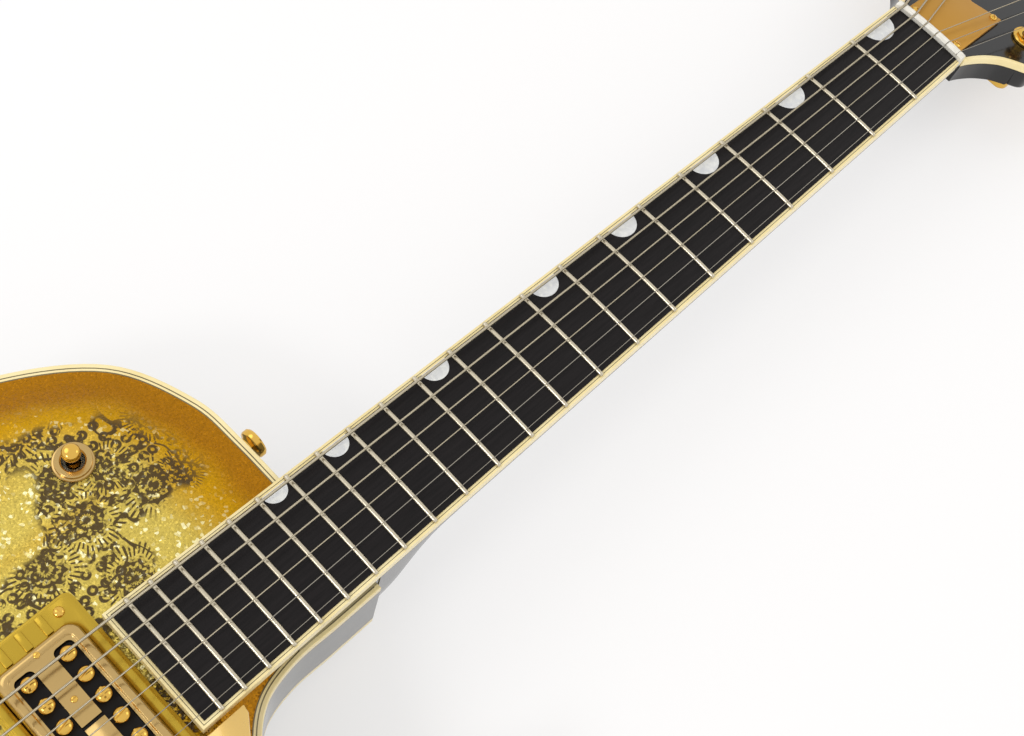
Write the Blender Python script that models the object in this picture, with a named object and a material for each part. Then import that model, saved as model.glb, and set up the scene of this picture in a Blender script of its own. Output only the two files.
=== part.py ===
# Hollow-body electric guitar with a single cutaway, lying on its back.
# Metres, +Z up. +X runs from the tail to the tip of the headstock, +Y to the bass side.
# The origin is under the middle of the guitar, on the surface that the back rests on.

import math

import bmesh
import bpy
from mathutils import Matrix, Vector

GAP = 0.0003                    # between pieces that touch

# Scale, fingerboard and frets
SCALE_LENGTH = 0.648
FRET_COUNT = 22
BOARD_NUT_WIDTH = 0.0429
BOARD_END_WIDTH = 0.0562
BOARD_OVERHANG = 0.0095         # past the last fret
BOARD_THICKNESS = 0.0063
BOARD_RADIUS = 0.305
BOARD_BINDING = 0.0022
BINDING_STEP = 0.0004           # the binding lies this much lower than the board's edge
FRET_HEIGHT = 0.0012
FRET_WIDTH = 0.0024
FRET_SINK = 0.0002              # of the fret wire in the board
FRET_END_INSET = 0.00065        # from the edge of the binding
INLAY_FRETS = (1, 3, 5, 7, 9, 12, 15, 17)
INLAY_DEPTH = 0.0009
INLAY_FIRST_RADIUS = 0.0092
INLAY_LAST_RADIUS = 0.0056

# Neck
NUT_THICKNESS = 0.005
NUT_SHELF = 0.0048              # of the neck, past the front of the fingerboard
NUT_RISE = 0.0009               # above the fret tops
NUT_EDGE_INSET = 0.0003
NECK_ANGLE = math.radians(2.0)
NECK_WOOD_NUT = 0.0136          # depth of wood under the board
NECK_WOOD_HEEL = 0.0165
HEEL_REACH = 0.034              # from the body to where the heel begins to swell
# distance from the body, share of the heel's depth, and roundness of the section
HEEL_SECTIONS = ((0.0075, 0.975, 0.46), (0.0135, 0.895, 0.48), (0.0190, 0.72, 0.55), (0.0255, 0.50, 0.67))
TONGUE_INSET = 0.0004           # of the neck's tongue, from the edge of the board over the body
TONGUE_CHEEK = 0.0017           # thickness of its part that stands on the binding beside the cutaway
TONGUE_CHEEK_LENGTH = 0.040
TENON_HALF_WIDTH = 0.018
TENON_LENGTH = 0.030
TENON_TOP = 0.0035              # below the body's top edge
TENON_BOTTOM = 0.012            # above the body's back edge
TRUSS_CHANNEL_HALF_WIDTH = 0.0034
TRUSS_CHANNEL_DEPTH = 0.0095
TRUSS_ROD_RADIUS = 0.0022
TRUSS_NUT_RADIUS = 0.0030
TRUSS_ACCESS = 0.026            # past the nut, under the cover

# Headstock
HEADSTOCK_ANGLE = math.radians(10.0)
HEADSTOCK_DROP = 0.005          # of the face, below the fret tops
HEADSTOCK_THICKNESS = 0.0145
HEADSTOCK_BINDING = 0.0022
HEADSTOCK_BINDING_HEIGHT = 0.0040
FACE_LEAD = 0.0010              # the face starts this much nearer to the nut than its binding
# distance past the nut and half width of the face
HEADSTOCK_OUTLINE = (
    (0.0014, 0.0217), (0.0042, 0.0225), (0.0085, 0.0241), (0.0153, 0.0274),
    (0.0211, 0.0313), (0.0245, 0.0343), (0.0286, 0.0393), (0.0321, 0.0443),
    (0.0346, 0.0468), (0.0385, 0.0480),
    (0.0600, 0.0463), (0.1000, 0.0435), (0.1350, 0.0428), (0.1550, 0.0452),
    (0.1660, 0.0462), (0.1705, 0.0430), (0.1700, 0.0330), (0.1722, 0.0180),
    (0.1775, 0.0),
)
COVER_HALF_WIDTH = 0.0170
COVER_LENGTH = 0.0455
COVER_NOTCH = 0.0045
COVER_THICKNESS = 0.0022
COVER_SCREW_RADIUS = 0.0021

# Body
NUT_TO_BODY = 0.3885
EDGE_BELOW_FRETS = 0.0165       # top edge of the body below the fret tops, at the neck
BODY_DEPTH = 0.048              # of the sides with both plates' edges
TOP_ARCH = 0.008
BACK_ARCH = 0.011
PLATE = 0.0045
RIM_WALL = 0.003
TAIL_BLOCK_WIDTH = 0.052
TAIL_BLOCK_THICKNESS = 0.026
BLOCK_GAP = 0.0008              # between the blocks and the plates, for glue
LINING_WIDTH = 0.009
LINING_HEIGHT = 0.015
TOP_BINDING = 0.004
BACK_BINDING = 0.0025
# Each row is a point of the edge and the point where the arch ends, both as distance
# behind the front edge and offset towards the bass side.
FRONT_CORNER = ((0.0, -0.0285), (0.050, -0.013))
FRONT_AND_SHOULDER = (
    ((0.0, 0.0), (0.045, 0.0)),
    ((0.0, 0.0520), (0.045, 0.037)),
    ((0.0031, 0.0800), (0.039, 0.065)),
    ((0.0192, 0.1122), (0.046, 0.092)),
    ((0.0540, 0.1357), (0.072, 0.108)),
    ((0.0930, 0.1470), (0.102, 0.112)),
    ((0.1400, 0.1405), (0.140, 0.104)),
)
LOWER_BOUT = (
    ((0.1800, 0.1250), (0.178, 0.088)),
    ((0.2100, 0.1195), (0.208, 0.080)),
    ((0.2450, 0.1255), (0.242, 0.084)),
    ((0.2800, 0.1475), (0.274, 0.099)),
    ((0.3180, 0.1810), (0.308, 0.122)),
    ((0.3660, 0.2030), (0.358, 0.136)),
    ((0.4150, 0.1890), (0.400, 0.126)),
    ((0.4600, 0.1520), (0.430, 0.098)),
    ((0.4930, 0.1020), (0.444, 0.064)),
    ((0.5100, 0.0520), (0.449, 0.032)),
)
TAIL = ((0.5140, 0.0), (0.450, 0.0))
HORN = (
    ((0.1400, -0.1395), (0.152, -0.092)),
    ((0.0960, -0.1420), (0.140, -0.096)),
    ((0.0580, -0.1335), (0.128, -0.093)),
    ((0.0375, -0.1200), (0.122, -0.089)),
    ((0.0315, -0.1075), (0.118, -0.085)),
    ((0.0410, -0.0980), (0.116, -0.081)),
    ((0.0580, -0.0935), (0.114, -0.077)),
)
CUTAWAY_CENTRE = (0.0435, -0.0640)
CUTAWAY_RADIUS = 0.0355
CUTAWAY_ARCH = ((0.112, -0.072), (0.110, -0.062), (0.104, -0.048), (0.092, -0.033), (0.080, -0.021))
CUTAWAY_WALL = ((0.022, -0.0285), (0.065, -0.016))
OUTLINE_STEPS = 2
ARCH_STEPS = (0.0, 0.3, 0.6, 1.0)
TONE_BAR_OFFSET = 0.052
TONE_BAR_WIDTH = 0.007
TONE_BAR_HEIGHT = 0.010
TONE_BAR_START = 0.098
TONE_BAR_END = 0.425
# f-hole centre line, from the front end: distance behind the front edge, offset, half width
F_HOLE = (
    (0.2010, 0.0790, 0.0050), (0.2060, 0.0835, 0.0060), (0.2150, 0.0830, 0.0032),
    (0.2350, 0.0800, 0.0040), (0.2600, 0.0840, 0.0052), (0.2850, 0.0930, 0.0040),
    (0.3050, 0.1040, 0.0032), (0.3150, 0.1060, 0.0062), (0.3210, 0.1100, 0.0048),
)

# Pickups
NECK_PICKUP_PAST_BOARD = 0.025939       # centre, past the end of the fingerboard
BRIDGE_PICKUP_AHEAD = 0.0360            # centre, ahead of the bridge
PICKUP_WIDTH = 0.0355
PICKUP_LENGTH = 0.0695
PICKUP_DEPTH = 0.020
PICKUP_WALL = 0.0014
PICKUP_FACE = 0.0060
PICKUP_BELOW_STRINGS = 0.0052
PICKUP_CLEARANCE = 0.0006
POLE_ROWS = 0.0169
POLE_PITCH = 0.0098
POLE_RADIUS = 0.0030
POLE_RISE = 0.0014
SLOT_WIDTH = 0.0082
SLOT_LENGTH = 0.0580
SLOT_DEPTH = 0.0015
BEZEL_WIDTH = 0.0472
BEZEL_LENGTH = 0.0920
NECK_BEZEL_HEIGHT = 0.0042
BRIDGE_BEZEL_HEIGHT = 0.0095
BEZEL_STEP = 0.0012

# Strings, from the bass side
STRING_RADII = (0.00062, 0.00048, 0.00036, 0.00026, 0.00020, 0.00014)
STRING_SPREAD_NUT = 0.0355
STRING_SPREAD_BRIDGE = 0.0520
STRING_RISE_NUT = 0.0005        # above the fret tops
STRING_RISE_BRIDGE = 0.0033
STRING_WRAP_STEPS = 9
STRING_CLEARANCE = 0.00035

# Tuners: one row for each pair, distance past the nut and offset from the centre
TUNER_PLACES = ((0.0495, 0.0320), (0.0875, 0.0310), (0.1255, 0.0300))
POST_RADIUS = 0.0030
POST_WAIST = 0.0026
POST_TOP = 0.0125
POST_CAP_RADIUS = 0.0046
BUSHING_RADIUS = 0.0048
BUSHING_FLANGE_RADIUS = 0.0075
BUSHING_FLANGE = 0.0015
RUNNING_GAP = 0.0005
GEAR_RADIUS = 0.0052
GEAR_THICKNESS = 0.0050
WORM_RADIUS = 0.0020
HOUSING_SIZE = (0.0254, 0.0176, 0.0096)
HOUSING_CORNER = 0.0050
HOUSING_FLOOR = 0.0012
SHAFT_BELOW_BACK = 0.0053
WORM_REACH = 0.0070             # of the shaft's inner end, past the post's axis
BUTTON_START = 0.021            # from the post's axis
# distance along the shaft, half width and half thickness
BUTTON_SHAPE = (
    (0.0, 0.0030, 0.0030), (0.0020, 0.0042, 0.0036), (0.0055, 0.0072, 0.0042),
    (0.0115, 0.0092, 0.0042), (0.0160, 0.0076, 0.0036), (0.0180, 0.0040, 0.0020),
)

# Bridge
BRIDGE_BASE_LENGTH = 0.128
BRIDGE_BASE_WIDTH = 0.018
BRIDGE_BASE_HEIGHT = 0.0065
BRIDGE_STUD_OFFSET = 0.037
BRIDGE_STUD_RADIUS = 0.0020
THUMBWHEEL_RADIUS = 0.0065
THUMBWHEEL_THICKNESS = 0.0022
BRIDGE_BAR_LENGTH = 0.090
BRIDGE_BAR_WIDTH = 0.0090
BRIDGE_BAR_HEIGHT = 0.0090

# Vibrato tailpiece
ROCKER_FROM_TAIL = 0.088
ROCKER_RISE = 0.0095            # axis above the flat of the top
ROCKER_RADIUS = 0.0050
ROCKER_HALF_LENGTH = 0.0310
TRUNNION_RADIUS = 0.0026
FRAME_THICKNESS = 0.0025
FRAME_HALF_WIDTH = 0.0420
FRAME_TAIL_HALF_WIDTH = 0.0200
EAR_THICKNESS = 0.0050
EAR_HALF_LENGTH = 0.0085
SPRING_AHEAD = 0.034            # of the rocker's axis
SPRING_OFFSET = -0.049          # from the centre line
SPRING_RADIUS = 0.0066
SPRING_WIRE_RADIUS = 0.0013
SPRING_TURNS = 4
CUP_RADIUS = 0.0112
CUP_WALL = 0.0016
CUP_HEIGHT = 0.0022
BRACKET_THICKNESS = 0.0040
BRACKET_RISE = 0.0165           # underside above the frame
BOSS_RADIUS = 0.0095
ARM_ROD_RADIUS = 0.0030
ARM_PIN_RADIUS = 0.0026
ARM_EYE_THICKNESS = 0.0050
# arm's centre line from its pivot: towards the neck, towards the bass side, rise
ARM_ROUTE = (
    (0.004, 0.0, 0.0), (0.018, -0.002, 0.0040), (0.040, -0.006, 0.0120), (0.075, -0.010, 0.0180),
    (0.110, -0.011, 0.0190), (0.140, -0.011, 0.0185), (0.165, -0.011, 0.0180),
)

# Pickguard
GUARD_LIFT = 0.0046             # underside above the flat of the top
GUARD_THICKNESS = 0.0024
GUARD_POST_RADIUS = 0.0035
# share of the way from the neck pickup's centre to the bridge, and offset from the centre line
GUARD_FRONT = (
    (-0.2910, -0.0300), (-0.2862, -0.0335), (-0.2534, -0.0402), (-0.2022, -0.0520),
    (-0.1544, -0.0680), (-0.0792, -0.0830), (0.0437, -0.0930), (0.2281, -0.0950),
    (0.4331, -0.0880), (0.6721, -0.0770), (0.9044, -0.0690),
)
GUARD_REAR = (0.9044, -0.0540)
GUARD_POSTS = ((0.2623, -0.0840), (0.8224, -0.0620))
GUARD_INNER_OFFSET = -0.0300
GUARD_PICKUP_GAP = 0.0012

# Blocks: the neck block's outline from its bass end round, as distance behind the front edge and offset
NECK_BLOCK_BASS = 0.0520        # end of its front face
NECK_BLOCK_OUTLINE = (
    (0.0165, 0.0655), (0.0362, 0.0655), (0.0362, 0.0310), (0.0590, 0.0310), (0.0590, -0.0140),
)
NECK_BLOCK_TREBLE_LENGTH = 0.0440
TAIL_BLOCK_SETBACK = 0.0012     # from the linings

# Controls: distance behind the front edge and offset from the centre line
MASTER_KNOB_AT = (0.0640, -0.1130)
KNOBS_AT = ((0.350, -0.112), (0.388, -0.120), (0.424, -0.104))
KNOB_NAMES = ("neck_volume_knob", "bridge_volume_knob", "tone_knob")
KNOB_RADIUS = 0.0098
KNOB_HEIGHT = 0.0150
KNOB_LIFT = 0.0012
KNOB_SHAFT_RADIUS = 0.0029
POT_RADIUS = 0.0086
POT_HEIGHT = 0.0085
POT_BUSHING_RADIUS = 0.0042
POT_BELOW_TOP = 0.0020
POT_BORE_RADIUS = 0.0034
WIRE_RADIUS = 0.0013
TOGGLE_AT = (0.0564, 0.0847)
TOGGLE_RING_RADIUS = 0.0083
TOGGLE_RING_HEIGHT = 0.0026
TOGGLE_BORE = 0.0046
TOGGLE_BODY = (0.016, 0.026, 0.022)
TOGGLE_BELOW_TOP = 0.0035
TOGGLE_COLLAR_WALL = 0.0013
LEVER_TIP_RADIUS = 0.0037
LEVER_RISE = 0.0125
JACK_RADIUS = 0.0052
JACK_BORE = 0.00325
JACK_FLANGE_RADIUS = 0.0098
JACK_FLANGE = 0.0018
JACK_NOSE = 0.0012
JACK_NOSE_RADIUS = 0.0067
JACK_LENGTH = 0.026
# wire between the potentiometers, inside the treble side
WIRE_ROUTE = ((0.105, -0.120), (0.150, -0.112), (0.205, -0.098), (0.270, -0.112), (0.315, -0.130))
WIRE_BELOW_TOP = 0.013
WIRE_SAG = 0.0045               # sideways, between two knobs
CUTTER_REACH = 0.004            # past the piece that a cutter goes through
STRAP_BUTTON_OFFSET = 0.056
STRAP_BUTTON_DEPTH = 0.0235     # below the body's top edge
STRAP_SCREW_RADIUS = 0.0014
STRAP_SCREW_LENGTH = 0.020
# distance out from the side and radius
STRAP_BUTTON_SHAPE = (
    (0.0, 0.0056), (0.0022, 0.0056), (0.0034, 0.0040), (0.0062, 0.0038),
    (0.0074, 0.0066), (0.0092, 0.0068), (0.0100, 0.0060),
)

board_length = SCALE_LENGTH * (1 - 2 ** (-FRET_COUNT / 12)) + BOARD_OVERHANG
back_edge = BACK_ARCH
top_edge = BACK_ARCH + BODY_DEPTH
top_flat = top_edge + TOP_ARCH
inside_top = top_flat - PLATE
neck_pickup_at = board_length + NECK_PICKUP_PAST_BOARD      # both measured from the nut
bridge_pickup_at = SCALE_LENGTH - BRIDGE_PICKUP_AHEAD
board_bottom = -FRET_HEIGHT - BOARD_THICKNESS
neck_top = board_bottom - GAP
jack_reach = GAP * 2 + JACK_FLANGE + JACK_NOSE
centre_line = jack_reach / 2    # offset that puts the origin half-way across the guitar


# Frames: each is an empty that its pieces are parented to.

def clear_scene():
    for obj in list(bpy.data.objects):
        bpy.data.objects.remove(obj, do_unlink=True)


def add_frame(name, matrix):
    frame = bpy.data.objects.new(name, None)
    frame.matrix_world = matrix
    frame.empty_display_size = 0.02
    bpy.context.collection.objects.link(frame)
    return frame


def neck_matrix(nut_x):
    fret_plane_at_body = top_edge + EDGE_BELOW_FRETS * math.cos(NECK_ANGLE)
    nut_z = fret_plane_at_body - NUT_TO_BODY * math.sin(NECK_ANGLE)
    return Matrix.Translation((nut_x, centre_line, nut_z)) @ Matrix.Rotation(NECK_ANGLE, 4, 'Y')


def headstock_matrix(neck):
    start = Matrix.Translation((NUT_THICKNESS, 0, -HEADSTOCK_DROP))
    return neck @ start @ Matrix.Rotation(HEADSTOCK_ANGLE, 4, 'Y')


def front_edge_x(neck):
    return (neck @ Vector((-NUT_TO_BODY, 0, -EDGE_BELOW_FRETS))).x


def centred_nut_x():
    """Where the nut lies, so that the origin is half-way along the guitar."""
    neck = neck_matrix(0.0)
    tip = (headstock_matrix(neck) @ Vector((HEADSTOCK_OUTLINE[-1][0], 0, 0))).x
    tail = front_edge_x(neck) - TAIL[0][0] - STRAP_BUTTON_SHAPE[-1][0] - GAP
    return -(tip + tail) / 2


# Mesh building

def material(name, colour, roughness, metallic=0.0):
    made = bpy.data.materials.get(name) or bpy.data.materials.new(name)
    made.use_nodes = True
    shader = made.node_tree.nodes["Principled BSDF"]
    shader.inputs["Base Color"].default_value = (*colour, 1.0)
    shader.inputs["Roughness"].default_value = roughness
    shader.inputs["Metallic"].default_value = metallic
    return made


def add_object(name, bm, frame, finish=None, smooth=False):
    """Makes the bmesh an object of this frame. Its faces are turned to point outwards."""
    bmesh.ops.recalc_face_normals(bm, faces=bm.faces)
    mesh = bpy.data.meshes.new(name)
    bm.to_mesh(mesh)
    bm.free()
    obj = bpy.data.objects.new(name, mesh)
    bpy.context.collection.objects.link(obj)
    obj.parent = frame
    if finish:
        mesh.materials.append(finish)
    if smooth:
        mesh.shade_smooth()
        mesh.set_sharp_from_angle(angle=math.radians(35))
    return obj


def as_cutter(obj):
    obj.hide_render = True
    obj.display_type = 'WIRE'
    return obj


def boolean(obj, other, operation):
    modifier = obj.modifiers.new(other.name, 'BOOLEAN')
    modifier.operation = operation
    modifier.solver = 'EXACT'
    modifier.object = as_cutter(other)


def cut(obj, *cutters):
    for cutter in cutters:
        boolean(obj, cutter, 'DIFFERENCE')


def fuse(obj, *pieces):
    for piece in pieces:
        boolean(obj, piece, 'UNION')


def add_loft(bm, loops, closed=False):
    """Skins the loops one after another. A closed loft ends on its first loop, like a ring."""
    rows = [[bm.verts.new(point) for point in loop] for loop in loops]
    pairs = list(zip(rows, rows[1:]))
    if closed:
        pairs.append((rows[-1], rows[0]))
    else:
        bm.faces.new(rows[0])
        bm.faces.new(rows[-1])
    for row, following in pairs:
        count = len(row)
        for i in range(count):
            j = (i + 1) % count
            bm.faces.new((row[i], row[j], following[j], following[i]))
    return bm


def loft(name, loops, frame, finish=None, closed=False, smooth=False):
    return add_object(name, add_loft(bmesh.new(), loops, closed), frame, finish, smooth)


def slab(name, outline, low, high, frame, finish=None):
    loops = [[Vector((x, y, z)) for x, y in outline] for z in (low, high)]
    return loft(name, loops, frame, finish)


def box(name, low, high, frame, finish=None):
    corners = ((low[0], low[1]), (high[0], low[1]), (high[0], high[1]), (low[0], high[1]))
    return slab(name, corners, low[2], high[2], frame, finish)


def circle(radius, level, segments):
    turns = [2 * math.pi * (i + 0.5) / segments for i in range(segments)]
    return [Vector((radius * math.cos(a), radius * math.sin(a), level)) for a in turns]


def turned(name, profile, frame, finish=None, segments=10, hollow=False):
    """Turns (radius, level) points about Z. A hollow profile closes on itself."""
    loops = [circle(radius, level, segments) for radius, level in profile]
    return loft(name, loops, frame, finish, closed=hollow, smooth=True)


def tube(name, points, radius, frame, finish=None, resolution=1):
    curve = bpy.data.curves.new(name, 'CURVE')
    curve.dimensions = '3D'
    curve.bevel_depth = radius
    curve.bevel_resolution = resolution
    curve.use_fill_caps = True
    spline = curve.splines.new('POLY')
    spline.points.add(len(points) - 1)
    for place, point in zip(spline.points, points):
        place.co = (*point, 1.0)
    obj = bpy.data.objects.new(name, curve)
    bpy.context.collection.objects.link(obj)
    obj.parent = frame
    if finish:
        curve.materials.append(finish)
    return obj


def meshed(obj):
    """A mesh object in place of a curve, for a Boolean."""
    bpy.context.view_layer.update()
    evaluated = obj.evaluated_get(bpy.context.evaluated_depsgraph_get())
    mesh = bpy.data.meshes.new_from_object(evaluated)
    made = bpy.data.objects.new(obj.name + "_mesh", mesh)
    bpy.context.collection.objects.link(made)
    made.parent = obj.parent
    bpy.data.objects.remove(obj, do_unlink=True)
    bm = bmesh.new()
    bm.from_mesh(mesh)
    bmesh.ops.remove_doubles(bm, verts=bm.verts, dist=0.000001)
    bmesh.ops.recalc_face_normals(bm, faces=bm.faces)
    bm.to_mesh(mesh)
    bm.free()
    return made


def turn_to(obj, location, direction):
    """Puts the object's Z along the direction."""
    obj.location = location
    obj.rotation_mode = 'QUATERNION'
    obj.rotation_quaternion = Vector(direction).to_track_quat('Z', 'Y')
    return obj


def smooth_curve(points, steps):
    """Points along a Catmull-Rom curve through all the points given, ends included."""
    points = [Vector(p) for p in points]
    ends = [2 * points[0] - points[1]] + points + [2 * points[-1] - points[-2]]
    found = []
    for a, b, c, d in zip(ends, ends[1:], ends[2:], ends[3:]):
        for i in range(steps):
            t = i / steps
            found.append(0.5 * (
                2 * b + (c - a) * t + (2 * a - 5 * b + 4 * c - d) * t ** 2
                + (3 * b - a - 3 * c + d) * t ** 3))
    return found + [points[-1]]


def inset(outline, distance):
    """The closed outline moved inwards."""
    found = []
    count = len(outline)
    area = sum(a.cross(b) for a, b in zip(outline, outline[1:] + outline[:1]))
    turn = math.copysign(1.0, area)
    for i, point in enumerate(outline):
        before = (point - outline[i - 1]).normalized()
        after = (outline[(i + 1) % count] - point).normalized()
        inward_before = Vector((-before.y, before.x)) * turn
        inward_after = Vector((-after.y, after.x)) * turn
        middle = (inward_before + inward_after).normalized()
        found.append(point + middle * (distance / max(middle.dot(inward_after), 0.5)))
    return found


# Body: outlines are in the body's frame, with X = 0 at the front edge

def body_rows():
    """The rows from the front corner round by the bass side, the tail and the horn."""
    rows = [FRONT_CORNER, *FRONT_AND_SHOULDER, *LOWER_BOUT, TAIL]
    rows += [((x, -y), (u, -v)) for (x, y), (u, v) in reversed(LOWER_BOUT)]
    rows += HORN
    for step, arch in enumerate(CUTAWAY_ARCH):
        turn = math.radians(120 - 30 * step)
        x = CUTAWAY_CENTRE[0] + CUTAWAY_RADIUS * math.sin(turn)
        y = CUTAWAY_CENTRE[1] + CUTAWAY_RADIUS * math.cos(turn)
        rows.append(((x, y), arch))
    return rows + [CUTAWAY_WALL, FRONT_CORNER]


def body_outlines(steps=OUTLINE_STEPS):
    """The edge and the line where the arch ends, with the same number of points."""
    rows = body_rows()
    found = []
    for side in (0, 1):
        curve = smooth_curve([Vector((-row[side][0], row[side][1])) for row in rows], steps)
        found.append(curve[:-1])
    return found


def arch(share):
    return 0.5 - 0.5 * math.cos(math.pi * share)


def blend(first, second, share):
    return [a.lerp(b, share) for a, b in zip(first, second)]


def level(outline, height):
    return [Vector((point.x, point.y, height)) for point in outline]


def plate_loops(edge, flat, outer_edge, rise, thickness):
    """Loops from the middle of the inner face, over the edge, to the middle of the outer face."""
    loops = [level(flat, outer_edge - thickness + rise), level(edge, outer_edge - thickness)]
    for share in ARCH_STEPS:
        loops.append(level(blend(edge, flat, share), outer_edge + rise * arch(share)))
    return loops


def ring_loops(outline, width, low, high):
    inner = inset(outline, width)
    return [level(outline, low), level(outline, high), level(inner, high), level(inner, low)]


def surface_level(place):
    """Height of the top's outer face at a place given as in the rows."""
    edge, flat = body_outlines()
    edge = inset(edge, TOP_BINDING + GAP)
    point = Vector((-place[0], place[1]))
    best = None
    for i in range(len(edge)):
        for part in (0.0, 0.25, 0.5, 0.75):
            start = edge[i - 1].lerp(edge[i], part)
            across = flat[i - 1].lerp(flat[i], part) - start
            share = min(max((point - start).dot(across) / across.length_squared, 0.0), 1.0)
            distance = (start + across * share - point).length
            if best is None or distance < best[0]:
                best = (distance, share)
    steps = list(zip(ARCH_STEPS, ARCH_STEPS[1:]))
    low, high = next(step for step in steps if best[1] <= step[1])
    part = (best[1] - low) / (high - low)
    return top_edge + TOP_ARCH * (arch(low) + (arch(high) - arch(low)) * part)


def f_hole_outline(side):
    centres = smooth_curve([Vector((-x, side * y)) for x, y, _ in F_HOLE], 1)
    widths = [width for _, _, width in F_HOLE]
    left, right = [], []
    for i, (centre, width) in enumerate(zip(centres, widths)):
        along = centres[min(i + 1, len(centres) - 1)] - centres[max(i - 1, 0)]
        across = Vector((-along.y, along.x)).normalized()
        left.append(centre + across * width)
        right.append(centre - across * width)
    return left + right[::-1]


def plan(point):
    return (point.x, point.y)


def build_plates(body, edge, flat, finishes):
    top_plate_edge = inset(edge, TOP_BINDING + GAP)
    top = loft("top", plate_loops(top_plate_edge, flat, top_edge, TOP_ARCH, PLATE), body,
               finishes["sparkle"])
    for side in (1, -1):
        near = side * TONE_BAR_OFFSET - TONE_BAR_WIDTH / 2
        low = (-TONE_BAR_END, near, inside_top - TONE_BAR_HEIGHT)
        high = (-TONE_BAR_START, near + TONE_BAR_WIDTH, inside_top + PLATE / 3)
        fuse(top, box("tone_bar_shape", low, high, body))
    for side in (1, -1):
        outline = [plan(p) for p in f_hole_outline(side)]
        cut(top, slab("f_hole_cut", outline, back_edge, top_flat + PLATE, body))
    back_plate_edge = inset(edge, BACK_BINDING + GAP)
    loops = plate_loops(back_plate_edge, flat, back_edge, -BACK_ARCH, -PLATE)
    loft("back", loops, body, finishes["black"])
    return top


def build_rim(body, edge, finishes):
    """The sides and their linings are bent in two halves, which meet at the neck and at the tail."""
    low = back_edge + PLATE + GAP
    high = top_edge - PLATE - GAP
    lining = inset(edge, LINING_WIDTH)
    wall = inset(edge, RIM_WALL)
    loops = [
        level(edge, low), level(edge, high), level(lining, high), level(wall, high - LINING_HEIGHT),
        level(wall, low + LINING_HEIGHT), level(lining, low),
    ]
    reach = max(p.y for p in edge) + CUTTER_REACH
    ends = (-TAIL[0][0] - CUTTER_REACH, CUTTER_REACH)
    halves = (("rim_bass", GAP / 2, reach), ("rim_treble", -reach, -GAP / 2))
    rims = []
    for name, near, far in halves:
        rims.append(loft(name, loops, body, finishes["black"], closed=True))
        limit = box(name + "_limit", (ends[0], near, 0.0), (ends[1], far, top_flat), body)
        boolean(rims[-1], limit, 'INTERSECT')
    loft("top_binding", ring_loops(edge, TOP_BINDING, top_edge - PLATE, top_edge), body,
         finishes["cream"], closed=True)
    loft("back_binding", ring_loops(edge, BACK_BINDING, back_edge, back_edge + PLATE), body,
         finishes["cream"], closed=True)
    notch_low = (-LINING_WIDTH - GAP * 2, -TENON_HALF_WIDTH - GAP, back_edge + TENON_BOTTOM - GAP)
    notch_high = (CUTTER_REACH, TENON_HALF_WIDTH + GAP, high + GAP * 2)
    notch = box("neck_notch_cut", notch_low, notch_high, body)
    for rim in rims:
        cut(rim, notch)
    return rims


def build_blocks(body, edge, flat, finishes):
    """Both blocks fill the height between the plates, so they are cut from the body's inside."""
    def inside(name):
        low, high = back_edge + PLATE + BLOCK_GAP, top_edge - PLATE - BLOCK_GAP
        loops = [
            level(flat, low - BACK_ARCH), level(inset(edge, BACK_BINDING + GAP), low),
            level(inset(edge, TOP_BINDING + GAP), high), level(flat, high + TOP_ARCH),
        ]
        return loft(name, loops, body)

    front = -LINING_WIDTH - GAP
    treble = FRONT_CORNER[0][1] + LINING_WIDTH + GAP
    neck_outline = [(front, treble), (front, NECK_BLOCK_BASS)] + [(-x, y) for x, y in NECK_BLOCK_OUTLINE]
    neck_outline.append((-NECK_BLOCK_TREBLE_LENGTH, treble))
    neck_block = slab("neck_block", neck_outline, 0.0, top_flat, body, finishes["maple"])
    boolean(neck_block, inside("neck_block_limit"), 'INTERSECT')
    low = (-TENON_LENGTH - GAP, -TENON_HALF_WIDTH - GAP, back_edge + TENON_BOTTOM - GAP)
    high = (0.0, TENON_HALF_WIDTH + GAP, top_edge - TENON_TOP + GAP + TOP_ARCH)
    cut(neck_block, box("mortise_cut", low, high, body))
    rear = -TAIL[0][0] + LINING_WIDTH + GAP + TAIL_BLOCK_SETBACK
    half = TAIL_BLOCK_WIDTH / 2
    tail_block = box("tail_block", (rear, -half, 0.0), (rear + TAIL_BLOCK_THICKNESS, half, top_flat), body,
                     finishes["maple"])
    boolean(tail_block, inside("tail_block_limit"), 'INTERSECT')
    return neck_block, tail_block


# Neck, fingerboard and headstock: X = 0 at the nut's board side, and fret tops at Z = 0

def fret_distance(number):
    return SCALE_LENGTH * (1 - 2 ** (-number / 12))


def board_half_width(distance):
    share = distance / board_length
    return (BOARD_NUT_WIDTH + (BOARD_END_WIDTH - BOARD_NUT_WIDTH) * share) / 2


def crown(distance, offset):
    """Rise of the board's face above its edge, for its radius."""
    half = board_half_width(min(max(distance, 0.0), SCALE_LENGTH))
    return max(half ** 2 - offset ** 2, 0.0) / (2 * BOARD_RADIUS)


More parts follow.
